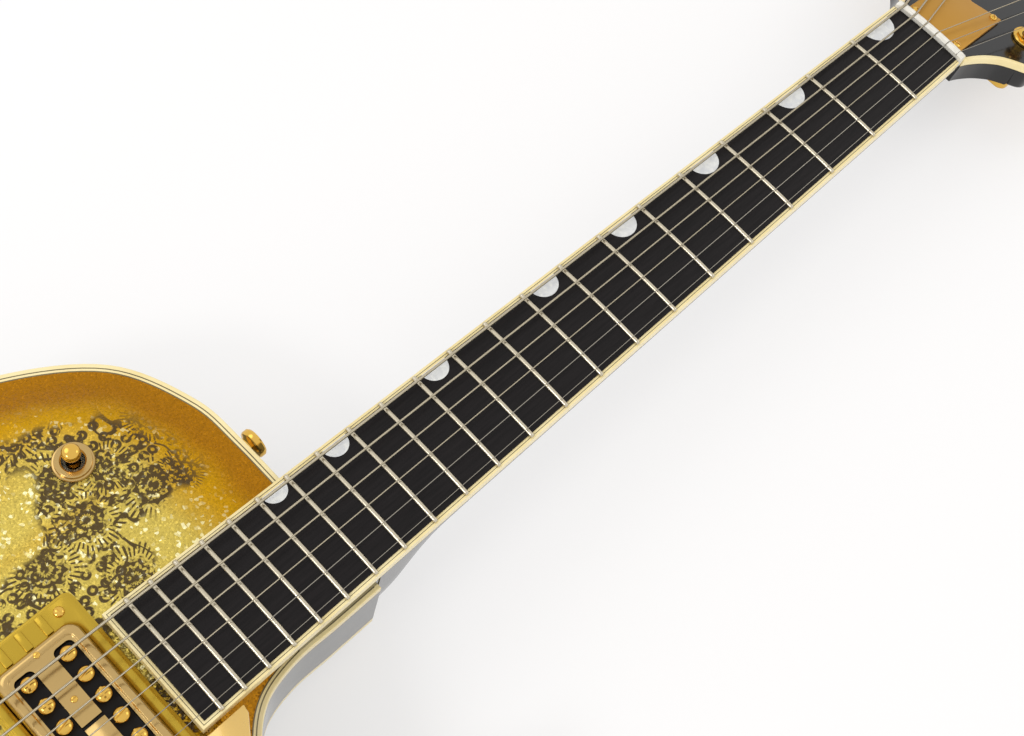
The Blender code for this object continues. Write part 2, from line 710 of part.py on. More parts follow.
def build_neck(neck_frame, headstock_frame, neck, body_front, finishes):
    body_drop = top_edge - back_edge
    heel_depth = body_drop + EDGE_BELOW_FRETS * math.cos(NECK_ANGLE) + neck_top
    # distance from the nut, depth of wood, and how boxy the section is
    heel_start = NUT_TO_BODY - HEEL_REACH
    stations = (
        *((NUT_TO_BODY - before, heel_depth * share, power) for before, share, power in HEEL_SECTIONS),
        (heel_start, heel_depth * 0.345, 0.80), (heel_start - 0.016, NECK_WOOD_HEEL, 0.85),
        (0.200, (NECK_WOOD_NUT + NECK_WOOD_HEEL) / 2, 0.85), (0.020, NECK_WOOD_NUT, 0.85),
        (-NUT_SHELF, NECK_WOOD_NUT + 0.0003, 0.85),
    )

    def section(distance, depth, power, top=neck_top):
        half = board_half_width(max(distance, 0.0))
        points = []
        for i in range(11):
            turn = math.pi * i / 10
            across = math.cos(turn)
            y = math.copysign(abs(across) ** power, across) * half
            z = top - depth * abs(math.sin(turn)) ** power
            points.append(Vector((-distance, y, z)))
        return points

    tilt = math.tan(NECK_ANGLE)
    joint = section(NUT_TO_BODY, heel_depth, HEEL_SECTIONS[0][2])
    for point in joint:
        point.x = -NUT_TO_BODY - (point.z + EDGE_BELOW_FRETS) * tilt + GAP
    loops = [joint] + [section(*station) for station in stations]
    under_binding = -HEADSTOCK_DROP - HEADSTOCK_BINDING_HEIGHT - 2 * GAP
    for past, fall, rise in ((0.0, 0.0, 0.0), (0.011, 0.0021, 0.0011), (0.029, 0.0052, 0.0028)):
        high = under_binding - fall
        low = neck_top - NECK_WOOD_NUT - rise
        points = section(-NUT_SHELF - 0.0005 - past, high - low, 0.80, top=high)
        loops.append([Vector((p.x, p.y * (1 - past * 4), p.z)) for p in points])
    wood = loft("neck", loops, neck_frame, finishes["black"], smooth=True)

    half_outline = [Vector(p) for p in HEADSTOCK_OUTLINE]
    outer = [plan(p) for p in headstock_face(half_outline, 0.0)]
    inner = [plan(p) for p in headstock_face(half_outline, HEADSTOCK_BINDING + GAP, FACE_LEAD)]
    step = -HEADSTOCK_BINDING_HEIGHT - GAP
    fuse(wood, slab("headstock_shape", outer, -HEADSTOCK_THICKNESS, step, headstock_frame))
    fuse(wood, slab("headstock_face_shape", inner, step - 0.001, 0.0, headstock_frame))

    # The tongue under the board's end follows the top's arch.
    tongue_half = board_half_width(NUT_TO_BODY) - TONGUE_INSET
    edge_start = TOP_BINDING + GAP
    flat_start = FRONT_AND_SHOULDER[0][1][0]
    body_x = {}
    for share in ARCH_STEPS:
        body_x[edge_start + (flat_start - edge_start) * share] = top_edge + TOP_ARCH * arch(share)
    body_x[board_length - NUT_TO_BODY - 0.004] = top_flat
    inverse = neck.inverted()
    lower = [inverse @ Vector((body_front + 0.006, centre_line, top_edge + GAP * 2))]
    for distance, height in sorted(body_x.items()):
        lower.append(inverse @ Vector((body_front - distance, centre_line, height + GAP * 2)))
    loops = []
    for side in (-1, 1):
        y = side * tongue_half
        loops.append([Vector((p.x, y, p.z)) for p in lower]
                     + [Vector((lower[-1].x, y, neck_top)), Vector((lower[0].x, y, neck_top - 0.0001))])
    fuse(wood, loft("tongue_shape", loops, neck_frame))
    ends = [inverse @ Vector((body_front + x, centre_line, top_edge + GAP * 2))
            for x in (CUTTER_REACH, -TONGUE_CHEEK_LENGTH)]
    loops = []
    for y in (-tongue_half, -tongue_half + TONGUE_CHEEK):
        loops.append([Vector((p.x, y, p.z)) for p in ends] + [Vector((p.x, y, neck_top)) for p in ends[::-1]])
    fuse(wood, loft("tongue_cheek_shape", loops, neck_frame))

    tenon_low = (-TENON_LENGTH, -TENON_HALF_WIDTH, back_edge + TENON_BOTTOM)
    tenon_high = (0.003, TENON_HALF_WIDTH, top_edge - TENON_TOP - PLATE)
    body_frame = bpy.data.objects["body_frame"]
    fuse(wood, box("tenon_shape", tenon_low, tenon_high, body_frame))

    channel_low = (-NUT_TO_BODY + 0.012, -TRUSS_CHANNEL_HALF_WIDTH, neck_top - TRUSS_CHANNEL_DEPTH)
    channel_high = (NUT_THICKNESS + TRUSS_ACCESS, TRUSS_CHANNEL_HALF_WIDTH, 0.004)
    cut(wood, box("truss_channel_cut", channel_low, channel_high, neck_frame))
    for x, y in TUNER_PLACES:
        for side in (1, -1):
            hole = turned("tuner_hole_cut", ((BUSHING_RADIUS + GAP * 1.5, -HEADSTOCK_THICKNESS - 0.004),
                                             (BUSHING_RADIUS + GAP * 1.5, 0.004)), headstock_frame)
            hole.location = (x, side * y, 0)
            cut(wood, hole)
    return half_outline


def headstock_face(half_outline, distance, lead=0.0):
    """Both halves of the outline, moved inwards. The lead brings its end nearer to the nut."""
    halves = half_outline + [Vector((p.x, -p.y)) for p in reversed(half_outline[:-1])]
    moved = inset(halves, distance) if distance else halves
    moved[0] = Vector((halves[0].x - lead, halves[0].y - distance - lead))
    moved[-1] = Vector((halves[-1].x - lead, halves[-1].y + distance + lead))
    return moved


def build_headstock_trim(headstock_frame, half_outline, finishes):
    outer = headstock_face(half_outline, 0.0)
    inner = headstock_face(half_outline, HEADSTOCK_BINDING)
    strip = [plan(p) for p in outer + inner[::-1]]
    slab("headstock_binding", strip, -HEADSTOCK_BINDING_HEIGHT, 0.0, headstock_frame,
         finishes["cream"])
    start = 0.0012
    outline = (
        (start, -COVER_HALF_WIDTH), (start, COVER_HALF_WIDTH), (COVER_LENGTH, COVER_HALF_WIDTH),
        (COVER_LENGTH - COVER_NOTCH, 0.0), (COVER_LENGTH, -COVER_HALF_WIDTH),
    )
    cover = slab("truss_rod_cover", outline, GAP, COVER_THICKNESS + GAP, headstock_frame,
                 finishes["gold"])
    near, far, side = start + 0.0030, COVER_LENGTH - 0.0034, COVER_HALF_WIDTH - 0.0036
    for x, y in ((near, side), (near, -side), (far, side), (far, -side)):
        screw = turned("cover_screw_shape", (
            (COVER_SCREW_RADIUS, COVER_THICKNESS / 2), (COVER_SCREW_RADIUS, COVER_THICKNESS + 0.0007),
            (COVER_SCREW_RADIUS * 0.5, COVER_THICKNESS + 0.0013)), headstock_frame, segments=8)
        screw.location = (x, y, 0)
        fuse(cover, screw)


def build_fingerboard(neck_frame, finishes):
    shares = (-1.0, -1 / 3, 1 / 3, 1.0)

    def section(distance):
        half = board_half_width(distance) - BOARD_BINDING - GAP
        top = [Vector((-distance, share * half, -FRET_HEIGHT + crown(distance, share * half)))
               for share in shares]
        base = [Vector((-distance, half, board_bottom)), Vector((-distance, -half, board_bottom))]
        return top + base

    end = board_length - BOARD_BINDING - GAP
    board = loft("fingerboard", [section(GAP), section(end)], neck_frame, finishes["ebony"])

    frets = bmesh.new()
    for number in range(1, FRET_COUNT + 1):
        distance = fret_distance(number)
        half = board_half_width(distance) - FRET_END_INSET
        foot = board_half_width(distance) - BOARD_BINDING - GAP
        loops = []
        for y in (-half, -foot / 3, foot / 3, half):
            high = crown(distance, min(abs(y), foot))
            low = high - FRET_HEIGHT - FRET_SINK
            wide, narrow = FRET_WIDTH / 2, FRET_WIDTH * 0.28
            profile = ((-wide, low), (wide, low), (narrow, high), (-narrow, high))
            loops.append([Vector((-distance + x, y, z)) for x, z in profile])
        add_loft(frets, loops)
    fuse(board, add_object("fret_shapes", frets, neck_frame))

    pockets = bmesh.new()
    for number in INLAY_FRETS:
        radius, centre, edge = inlay(number)
        arc = [math.pi * i / 6 for i in range(7)]
        outline = [(centre + radius * math.cos(a), edge - radius * math.sin(a)) for a in arc]
        outline += [(centre - radius, edge + 0.002), (centre + radius, edge + 0.002)]
        top = -FRET_HEIGHT + crown(-centre, edge - radius)
        low = -FRET_HEIGHT - INLAY_DEPTH + crown(-centre, edge - radius / 2)
        add_loft(pockets, [[Vector((x, y, z)) for x, y in outline] for z in (low, top + 0.001)])
    cut(board, add_object("inlay_pocket_cut", pockets, neck_frame))

    start = GAP
    outer_nut, outer_end = board_half_width(start), board_half_width(board_length)
    inner_nut, inner_end = outer_nut - BOARD_BINDING, board_half_width(end) - BOARD_BINDING
    strip = (
        (-start, outer_nut), (-board_length, outer_end), (-board_length, -outer_end),
        (-start, -outer_nut), (-start, -inner_nut), (-end - GAP, -inner_end),
        (-end - GAP, inner_end), (-start, inner_nut),
    )
    slab("fingerboard_binding", strip, board_bottom, -FRET_HEIGHT - BINDING_STEP, neck_frame,
         finishes["cream"])


def inlay(number):
    """Radius, place along the board and edge line of the half-round inlay behind a fret."""
    before, after = fret_distance(number - 1), fret_distance(number)
    share = (number - INLAY_FRETS[0]) / (INLAY_FRETS[-1] - INLAY_FRETS[0])
    radius = INLAY_FIRST_RADIUS + (INLAY_LAST_RADIUS - INLAY_FIRST_RADIUS) * share ** 0.7
    middle = (before + after) / 2
    edge = board_half_width(middle) - BOARD_BINDING - GAP
    return radius, -middle, edge


def build_nut(neck_frame, string_cutters, finishes):
    half = board_half_width(0.0) - NUT_EDGE_INSET
    loops = []
    for y in (-half, -half / 3, half / 3, half):
        top = NUT_RISE + crown(0.0, y)
        profile = ((GAP, neck_top + GAP), (NUT_THICKNESS - GAP, neck_top + GAP),
                   (NUT_THICKNESS - GAP, top - 0.0012), (NUT_THICKNESS * 0.6, top), (GAP, top))
        loops.append([Vector((x, y, z)) for x, z in profile])
    cut(loft("nut", loops, neck_frame, finishes["bone"]), *string_cutters)


def build_truss_rod(neck_frame, finishes):
    length = NUT_TO_BODY - 0.020 + NUT_THICKNESS + TRUSS_ACCESS
    nut_start = length - 0.012
    rod = turned("truss_rod", (
        (TRUSS_ROD_RADIUS, 0.0), (TRUSS_ROD_RADIUS, nut_start), (TRUSS_NUT_RADIUS, nut_start + 0.0005),
        (TRUSS_NUT_RADIUS, length - 0.004)), neck_frame, finishes["steel"], segments=8)
    turn_to(rod, (-NUT_TO_BODY + 0.018, 0, neck_top - TRUSS_CHANNEL_DEPTH + TRUSS_NUT_RADIUS + 0.0008),
            (1, 0, 0))


# Strings

def string_side(number):
    return 1 if number < 3 else -1


def string_share(number):
    return 0.5 - number / 5


def string_at_nut(number):
    y = STRING_SPREAD_NUT * string_share(number)
    return y, crown(0.0, y) + STRING_RISE_NUT + STRING_RADII[number]


def string_at_bridge(number):
    y = STRING_SPREAD_BRIDGE * string_share(number)
    rise = ((STRING_SPREAD_BRIDGE / 2) ** 2 - y ** 2) / (2 * BOARD_RADIUS)
    return y, rise + STRING_RISE_BRIDGE + STRING_RADII[number]


def tuner_place(number):
    """The post that a string winds on, counted from the nut on its own side."""
    x, y = TUNER_PLACES[number if number < 3 else 5 - number]
    return x, y * string_side(number)


def wrap_radius(number):
    return POST_WAIST + STRING_RADII[number] + STRING_CLEARANCE


def head_in_neck():
    start = Matrix.Translation((NUT_THICKNESS, 0, -HEADSTOCK_DROP))
    return start @ Matrix.Rotation(HEADSTOCK_ANGLE, 4, 'Y')


def string_windings(number):
    """Points round the post, in the headstock's frame, from the side facing the centre."""
    x, y = tuner_place(number)
    side = string_side(number)
    radius = wrap_radius(number)
    pitch = 2 * STRING_RADII[number] + 0.0005
    points = []
    for i in range(STRING_WRAP_STEPS + 1):
        turn = 2 * math.pi * i / 8
        height = 0.0078 - pitch * turn / (2 * math.pi)
        points.append(Vector((x + radius * math.sin(turn), y - side * radius * math.cos(turn), height)))
    return points


def string_route(number):
    """From the post over the nut to the bridge, in the neck's frame."""
    points = [head_in_neck() @ p for p in reversed(string_windings(number))]
    nut_place, bridge_place = string_at_nut(number), string_at_bridge(number)
    points += [Vector((NUT_THICKNESS * 0.55, *nut_place)), Vector((0.0, *nut_place))]
    points += [Vector((-SCALE_LENGTH + 0.002, *bridge_place)), Vector((-SCALE_LENGTH - 0.002, *bridge_place))]
    return points


def string_on_rocker(number, axis):
    """Round the rocker's bar, in the frame that its axis is given in."""
    y = string_at_bridge(number)[0]
    reach = ROCKER_RADIUS + STRING_RADII[number] + STRING_CLEARANCE
    points = []
    for degrees in (0, 45, 90, 135):
        turn = math.radians(degrees)
        points.append(axis + Vector((-reach * math.sin(turn), y, reach * math.cos(turn))))
    return points


def string_cutter(number, axis, neck, frame):
    """The string with its clearance, as a cutter for what holds it."""
    inverse = neck.inverted()
    points = string_route(number) + [inverse @ p for p in string_on_rocker(number, axis)]
    name = "string_cut_" + str(number + 1)
    return bpy.data.objects.get(name + "_mesh") or meshed(
        tube(name, points, STRING_RADII[number] + STRING_CLEARANCE, frame))


def build_strings(neck_frame, neck, axis, finishes):
    inverse = neck.inverted()
    for number, radius in enumerate(STRING_RADII):
        points = string_route(number) + [inverse @ p for p in string_on_rocker(number, axis)]
        tube("string_" + str(number + 1), points, radius, neck_frame, finishes["string"], 0)


# Tuners: built once for each string, in the headstock's frame

def build_tuners(headstock_frame, finishes):
    for number in range(6):
        side = string_side(number)
        x, y = tuner_place(number)
        label = str(number + 1)
        top = -HEADSTOCK_THICKNESS - GAP
        bottom = top - HOUSING_SIZE[2]
        bore = POST_RADIUS + RUNNING_GAP
        shaft_x = x + GEAR_RADIUS + WORM_RADIUS + RUNNING_GAP
        shaft_z = -HEADSTOCK_THICKNESS - SHAFT_BELOW_BACK
        gear_top = shaft_z + GEAR_THICKNESS / 2

        half_x, half_y = HOUSING_SIZE[0] / 2, HOUSING_SIZE[1] / 2
        outline = []
        for quarter, (sx, sy) in enumerate(((1, 1), (-1, 1), (-1, -1), (1, -1))):
            for turn in (0, 30, 60, 90):
                angle = math.radians(quarter * 90 + turn)
                outline.append((x + sx * (half_x - HOUSING_CORNER) + HOUSING_CORNER * math.cos(angle),
                                y + sy * (half_y - HOUSING_CORNER) + HOUSING_CORNER * math.sin(angle)))
        housing = slab("tuner_housing_" + label, outline, bottom, top, headstock_frame, finishes["gold"])
        sleeve = turned("bushing_shape_" + label, (
            (BUSHING_RADIUS, top - 0.001), (BUSHING_RADIUS, GAP), (BUSHING_FLANGE_RADIUS, GAP),
            (BUSHING_FLANGE_RADIUS, GAP + BUSHING_FLANGE)), headstock_frame)
        sleeve.location = (x, y, 0)
        fuse(housing, sleeve)
        post_bore = turned("post_bore_cut_" + label, (
            (GEAR_RADIUS + RUNNING_GAP + GAP, bottom + HOUSING_FLOOR),
            (GEAR_RADIUS + RUNNING_GAP + GAP, gear_top + GAP),
            (bore, gear_top + GAP), (bore, BUSHING_FLANGE + 0.003)), headstock_frame)
        post_bore.location = (x, y, 0)
        radius = WORM_RADIUS + RUNNING_GAP
        profile = ((radius, -WORM_REACH - RUNNING_GAP), (radius, BUTTON_START))
        shaft_bore = turned("shaft_bore_cut_" + label, profile, headstock_frame, segments=12)
        turn_to(shaft_bore, (shaft_x, y, shaft_z), (0, side, 0))
        cut(housing, post_bore, shaft_bore)

        post = turned("tuner_post_" + label, (
            (GEAR_RADIUS, shaft_z - GEAR_THICKNESS / 2), (GEAR_RADIUS, gear_top - GAP),
            (POST_RADIUS, gear_top - GAP),
            (POST_RADIUS, 0.0032), (POST_WAIST, 0.0040), (POST_WAIST, 0.0092), (POST_CAP_RADIUS, 0.0098),
            (POST_CAP_RADIUS, POST_TOP - 0.0006), (POST_CAP_RADIUS - 0.0008, POST_TOP)),
            headstock_frame, finishes["gold"], segments=12)
        post.location = (x, y, 0)
        slot_low = (-POST_CAP_RADIUS - 0.001, -0.0007, POST_TOP - 0.0014)
        slot_high = (POST_CAP_RADIUS + 0.001, 0.0007, POST_TOP + 0.001)
        slot = box("post_slot_cut_" + label, slot_low, slot_high, headstock_frame)
        slot.location = (x, y, 0)
        cut(post, slot)

        loops = [circle(WORM_RADIUS, -WORM_REACH, 8), circle(WORM_RADIUS, BUTTON_START - 0.0006, 8)]
        for along, wide, thick in BUTTON_SHAPE:
            loops.append([Vector((p.x * wide, p.y * thick, BUTTON_START + along))
                          for p in circle(1.0, 0.0, 8)])
        button = loft("tuner_button_" + label, loops, headstock_frame, finishes["gold"], smooth=True)
        button.location = (shaft_x, y, shaft_z)
        button.rotation_euler = (-side * math.pi / 2, 0, 0)


# Pickups and bridge: in the body's frame, level with the flat of the top

def rounded_rectangle(half_x, half_y, radius, steps=3):
    points = []
    for start, (sx, sy) in zip((0, 90, 180, 270), ((1, 1), (-1, 1), (-1, -1), (1, -1))):
        for i in range(steps + 1):
            turn = math.radians(start + 90 * i / steps)
            points.append((sx * (half_x - radius) + radius * math.cos(turn),
                           sy * (half_y - radius) + radius * math.sin(turn)))
    return points


def string_level(neck, distance):
    """World height of the outer strings' lower sides above a place on the centre line."""
    share = distance / SCALE_LENGTH
    rise = STRING_RISE_NUT + (STRING_RISE_BRIDGE - STRING_RISE_NUT) * share
    return (neck @ Vector((-distance, 0, rise))).z


def build_pickup(name, distance, bezel_height, body, body_front, neck, top, finishes):
    centre = (neck @ Vector((-distance, 0, 0))).x - body_front
    high = string_level(neck, distance) - PICKUP_BELOW_STRINGS
    half_x, half_y = PICKUP_WIDTH / 2, PICKUP_LENGTH / 2
    outline = [(centre + x, y) for x, y in rounded_rectangle(half_x, half_y, 0.004)]
    cover = slab(name, outline, high - PICKUP_DEPTH, high, body, finishes["gold"])
    rows = bmesh.new()
    slots = bmesh.new()
    for side in (-1, 1):
        x = centre + side * POLE_ROWS / 2
        corners = [Vector((x + sx * SLOT_WIDTH / 2, sy * SLOT_LENGTH / 2, 0))
                   for sx, sy in ((-1, -1), (1, -1), (1, 1), (-1, 1))]
        add_loft(slots, [[Vector((c.x, c.y, z)) for c in corners] for z in (high - SLOT_DEPTH, high + 0.002)])
        for i in range(6):
            y = POLE_PITCH * (i - 2.5)
            loops = [circle(POLE_RADIUS, high - SLOT_DEPTH - 0.001, 8),
                     circle(POLE_RADIUS * 0.9, high + POLE_RISE, 8)]
            add_loft(rows, [[Vector((x + p.x, y + p.y, p.z)) for p in loop] for loop in loops])
    shell = (half_x - PICKUP_WALL, half_y - PICKUP_WALL)
    cut(cover, box(name + "_hollow_cut", (centre - shell[0], -shell[1], high - PICKUP_DEPTH - 0.001),
                   (centre + shell[0], shell[1], high - PICKUP_FACE), body))
    cut(cover, add_object(name + "_slot_cut", slots, body))
    fuse(cover, add_object(name + "_pole_shapes", rows, body))

    outer = rounded_rectangle(BEZEL_WIDTH / 2, BEZEL_LENGTH / 2, 0.004)
    shelf = rounded_rectangle(BEZEL_WIDTH / 2 - BEZEL_STEP, BEZEL_LENGTH / 2 - BEZEL_STEP, 0.0035)
    opening = rounded_rectangle(half_x + PICKUP_CLEARANCE, half_y + PICKUP_CLEARANCE, 0.0045)
    base = top_flat + GAP
    loops = [
        [Vector((centre + x, y, base)) for x, y in outer],
        [Vector((centre + x, y, base + bezel_height * 0.55)) for x, y in outer],
        [Vector((centre + x, y, base + bezel_height)) for x, y in shelf],
        [Vector((centre + x, y, base + bezel_height)) for x, y in opening],
        [Vector((centre + x, y, base)) for x, y in opening],
    ]
    loft(name + "_bezel", loops, body, finishes["gold"], closed=True)
    hole = [(centre + x, y) for x, y in
            rounded_rectangle(half_x + 0.0012, half_y + 0.0012, 0.0045)]
    cut(top, slab(name + "_hole_cut", hole, inside_top - TONE_BAR_HEIGHT, top_flat + PLATE, body))


def build_bridge(body, body_front, neck, string_cutters, finishes):
    place = neck @ Vector((-SCALE_LENGTH, 0, 0))
    centre = place.x - body_front
    low = top_flat + GAP
    base_top = low + BRIDGE_BASE_HEIGHT
    half = BRIDGE_BASE_LENGTH / 2
    wide = BRIDGE_BASE_WIDTH / 2
    loops = []
    for y, height, width in ((-half, 0.5, 0.55), (-half * 0.7, 0.85, 0.9), (-half * 0.45, 1.0, 1.0),
                             (half * 0.45, 1.0, 1.0), (half * 0.7, 0.85, 0.9), (half, 0.5, 0.55)):
        top = low + BRIDGE_BASE_HEIGHT * height
        reach = wide * width
        profile = ((-reach, low), (reach, low), (reach * 0.7, top), (-reach * 0.7, top))
        loops.append([Vector((centre + x, y, z)) for x, z in profile])
    base = loft("bridge_base", loops, body, finishes["ebony"])
    bar_low = string_level(neck, SCALE_LENGTH) - BRIDGE_BAR_HEIGHT
    wheel_high = bar_low - GAP
    for side in (1, -1):
        stud = turned("bridge_stud_shape", (
            (BRIDGE_STUD_RADIUS, base_top - 0.003), (BRIDGE_STUD_RADIUS, wheel_high - THUMBWHEEL_THICKNESS),
            (THUMBWHEEL_RADIUS, wheel_high - THUMBWHEEL_THICKNESS), (THUMBWHEEL_RADIUS, wheel_high),
            (BRIDGE_STUD_RADIUS, wheel_high), (BRIDGE_STUD_RADIUS, bar_low + BRIDGE_BAR_HEIGHT * 0.55)),
            body)
        stud.location = (centre, side * BRIDGE_STUD_OFFSET, 0)
        fuse(base, stud)

    bar_half = BRIDGE_BAR_LENGTH / 2
    bar_wide = BRIDGE_BAR_WIDTH / 2
    loops = []
    for y in (-bar_half, -0.030, -0.015, 0.0, 0.015, 0.030, bar_half):
        rise = max((STRING_SPREAD_BRIDGE / 2) ** 2 - y ** 2, 0.0) / (2 * BOARD_RADIUS)
        high = bar_low + BRIDGE_BAR_HEIGHT + rise + 0.0002
        if abs(y) == bar_half:
            high -= 0.0025
        profile = ((-bar_wide, bar_low), (bar_wide, bar_low), (bar_wide, high - 0.0022), (0.0012, high),
                   (-0.0012, high), (-bar_wide, high - 0.0022))
        loops.append([Vector((centre + x, y, z)) for x, z in profile])
    bar = loft("bridge_bar", loops, body, finishes["gold"])
    for side in (1, -1):
        radius = BRIDGE_STUD_RADIUS + RUNNING_GAP
        profile = ((radius, bar_low - CUTTER_REACH / 2), (radius, bar_low + BRIDGE_BAR_HEIGHT * 0.65))
        hole = turned("bridge_bar_hole_cut", profile, body)
        hole.location = (centre, side * BRIDGE_STUD_OFFSET, 0)
        cut(bar, hole)
    cut(bar, *string_cutters)


# Vibrato tailpiece: in the body's frame

def build_vibrato(body, axis, finishes):
    low = top_flat + GAP
    high = low + FRAME_THICKNESS
    tail = -TAIL[0][0]
    shoulder = EAR_HALF_LENGTH + 0.004
    spring_x = axis.x + SPRING_AHEAD
    wing = CUP_RADIUS + 0.0005
    arch_end = -TAIL[1][0]
    outline = (
        (arch_end - 0.004, FRAME_TAIL_HALF_WIDTH * 1.15), (axis.x - shoulder, FRAME_HALF_WIDTH),
        (axis.x + shoulder, FRAME_HALF_WIDTH), (axis.x + shoulder, SPRING_OFFSET + wing),
        (spring_x + wing * 0.4, SPRING_OFFSET + wing), (spring_x + wing, SPRING_OFFSET + wing * 0.4),
        (spring_x + wing, SPRING_OFFSET - wing * 0.4), (spring_x + wing * 0.4, SPRING_OFFSET - wing),
        (spring_x - wing, SPRING_OFFSET - wing), (axis.x - shoulder, -FRAME_HALF_WIDTH),
        (arch_end - 0.004, -FRAME_TAIL_HALF_WIDTH * 1.15),
    )
    frame = slab("vibrato_frame", outline, low, high, body, finishes["gold"])
    # The tail strap follows the slope of the top down over the edge.
    half = FRAME_TAIL_HALF_WIDTH
    route = [(arch_end, high)]
    for share in reversed(ARCH_STEPS[:-1]):
        x = arch_end + (tail + TOP_BINDING + GAP - arch_end) * (1 - share)
        route.append((x, top_edge + TOP_ARCH * arch(share) + GAP * 2 + FRAME_THICKNESS * 0.8))
    route.append((tail - GAP * 2 - FRAME_THICKNESS * 0.8, top_edge + GAP * 2 + FRAME_THICKNESS * 0.4))
    route.append((tail - GAP * 2 - FRAME_THICKNESS * 0.8, top_edge - 0.012))
    under = [(arch_end, low)]
    for share in reversed(ARCH_STEPS[:-1]):
        x = arch_end + (tail + TOP_BINDING + GAP - arch_end) * (1 - share)
        under.append((x, top_edge + TOP_ARCH * arch(share) + GAP * 2))
    under.append((tail - GAP * 2, top_edge + GAP * 2))
    under.append((tail - GAP * 2, top_edge - 0.012))
    section = route + under[::-1]
    strap = loft("tail_strap_shape", [[Vector((x, y, z)) for x, z in section] for y in (-half, half)], body)
    fuse(frame, strap)
    ear_inner = ROCKER_HALF_LENGTH + GAP * 2
    radius, reach = TRUNNION_RADIUS + RUNNING_GAP, ear_inner + EAR_THICKNESS + CUTTER_REACH
    bore = turned("rocker_bore_cut", ((radius, -reach), (radius, reach)), body)
    turn_to(bore, (axis.x, 0, axis.z), (0, 1, 0))
    for side in (1, -1):
        profile = [(EAR_HALF_LENGTH, low + 0.0005), (EAR_HALF_LENGTH, axis.z)]
        for degrees in (45, 90, 135):
            turn = math.radians(degrees)
            across, up = EAR_HALF_LENGTH * math.cos(turn), EAR_HALF_LENGTH * 0.75 * math.sin(turn)
            profile.append((across, axis.z + up))
        profile += [(-EAR_HALF_LENGTH, axis.z), (-EAR_HALF_LENGTH, low + 0.0005)]
        loops = [[Vector((axis.x + x, side * y, z)) for x, z in profile]
                 for y in (ear_inner, ear_inner + EAR_THICKNESS)]
        fuse(frame, loft("ear_shape", loops, body))
    cup = turned("spring_cup_shape", (
        (CUP_RADIUS, high - 0.001), (CUP_RADIUS, high + CUP_HEIGHT),
        (CUP_RADIUS - CUP_WALL, high + CUP_HEIGHT),
        (CUP_RADIUS - CUP_WALL, high - 0.001)), body, hollow=True)
    cup.location = (spring_x, SPRING_OFFSET, 0)
    fuse(frame, cup)
    cut(frame, bore)

    # Rocker, with its axis along Y through its own origin
    half = ROCKER_HALF_LENGTH
    treble_reach = -SPRING_OFFSET + BRACKET_THICKNESS / 2
    profile = ((TRUNNION_RADIUS, -treble_reach + 0.001), (TRUNNION_RADIUS, -half), (ROCKER_RADIUS, -half),
               (ROCKER_RADIUS, half), (TRUNNION_RADIUS, half), (TRUNNION_RADIUS, half + EAR_THICKNESS + GAP))
    rocker = turned("vibrato_rocker", profile, body, finishes["gold"])
    rocker.location = axis
    rocker.rotation_euler = (-math.pi / 2, 0, 0)
    under = high + BRACKET_RISE
    cheek = box("cheek_shape", (axis.x - 0.005, SPRING_OFFSET - BRACKET_THICKNESS / 2, axis.z - 0.005),
                (axis.x + 0.006, SPRING_OFFSET + BRACKET_THICKNESS / 2, under + BRACKET_THICKNESS), body)
    reach = box("bracket_shape", (axis.x - 0.005, SPRING_OFFSET - 0.007, under),
                (spring_x, SPRING_OFFSET + 0.007, under + BRACKET_THICKNESS), body)
    profile = ((BOSS_RADIUS, under - GAP / 3), (BOSS_RADIUS, under + BRACKET_THICKNESS + 0.0004))
    boss = turned("boss_shape", profile, body)
    boss.location = (spring_x, SPRING_OFFSET, 0)
    pins = bmesh.new()
    for number in range(6):
        y = string_at_bridge(number)[0]
        loops = []
        for reach_out in (ROCKER_RADIUS * 0.6, ROCKER_RADIUS + 0.0012):
            turn = math.radians(205)
            loops.append([Vector((axis.x - reach_out * math.sin(turn) + p.y * math.cos(turn), y + p.x,
                                  axis.z + reach_out * math.cos(turn) + p.y * math.sin(turn)))
                          for p in circle(0.0011, 0.0, 6)])
        add_loft(pins, loops)
    fuse(rocker, cheek, reach, boss, add_object("string_pin_shapes", pins, body))
    radius = ARM_PIN_RADIUS + RUNNING_GAP
    profile = ((radius, under - CUTTER_REACH), (radius, under + BRACKET_THICKNESS + CUTTER_REACH))
    pin_bore = turned("arm_bore_cut", profile, body)
    pin_bore.location = (spring_x, SPRING_OFFSET, 0)
    cut(rocker, pin_bore)

    # Spring under the boss: one open coil of round wire
    start = high + GAP + SPRING_WIRE_RADIUS
    end = under - GAP * 2 - SPRING_WIRE_RADIUS
    points = []
    steps = SPRING_TURNS * 10
    for i in range(steps + 1):
        turn = 2 * math.pi * i / 10
        points.append(Vector((spring_x + SPRING_RADIUS * math.cos(turn),
                              SPRING_OFFSET + SPRING_RADIUS * math.sin(turn),
                              start + (end - start) * i / steps)))
    print_least_gap("vibrato_spring", points, SPRING_WIRE_RADIUS)
    tube("vibrato_spring", points, SPRING_WIRE_RADIUS, body, finishes["steel"])

    # Arm, with its pivot through its own origin
    eye_low = under + BRACKET_THICKNESS + 0.0004 + GAP
    arm = turned("vibrato_arm", (
        (ARM_PIN_RADIUS, -BRACKET_THICKNESS - 0.002), (ARM_PIN_RADIUS, 0.0), (BOSS_RADIUS * 0.9, 0.0),
        (BOSS_RADIUS * 0.9, ARM_EYE_THICKNESS * 0.8), (BOSS_RADIUS * 0.7, ARM_EYE_THICKNESS)),
        body, finishes["gold"])
    arm.location = (spring_x, SPRING_OFFSET, eye_low)
    route = [Vector((x, y, z + ARM_EYE_THICKNESS * 0.55)) for x, y, z in ARM_ROUTE]
    rod = meshed(tube("arm_rod_shape", smooth_curve(route, 2), ARM_ROD_RADIUS, body))
    rod.location = arm.location
    fuse(arm, rod)


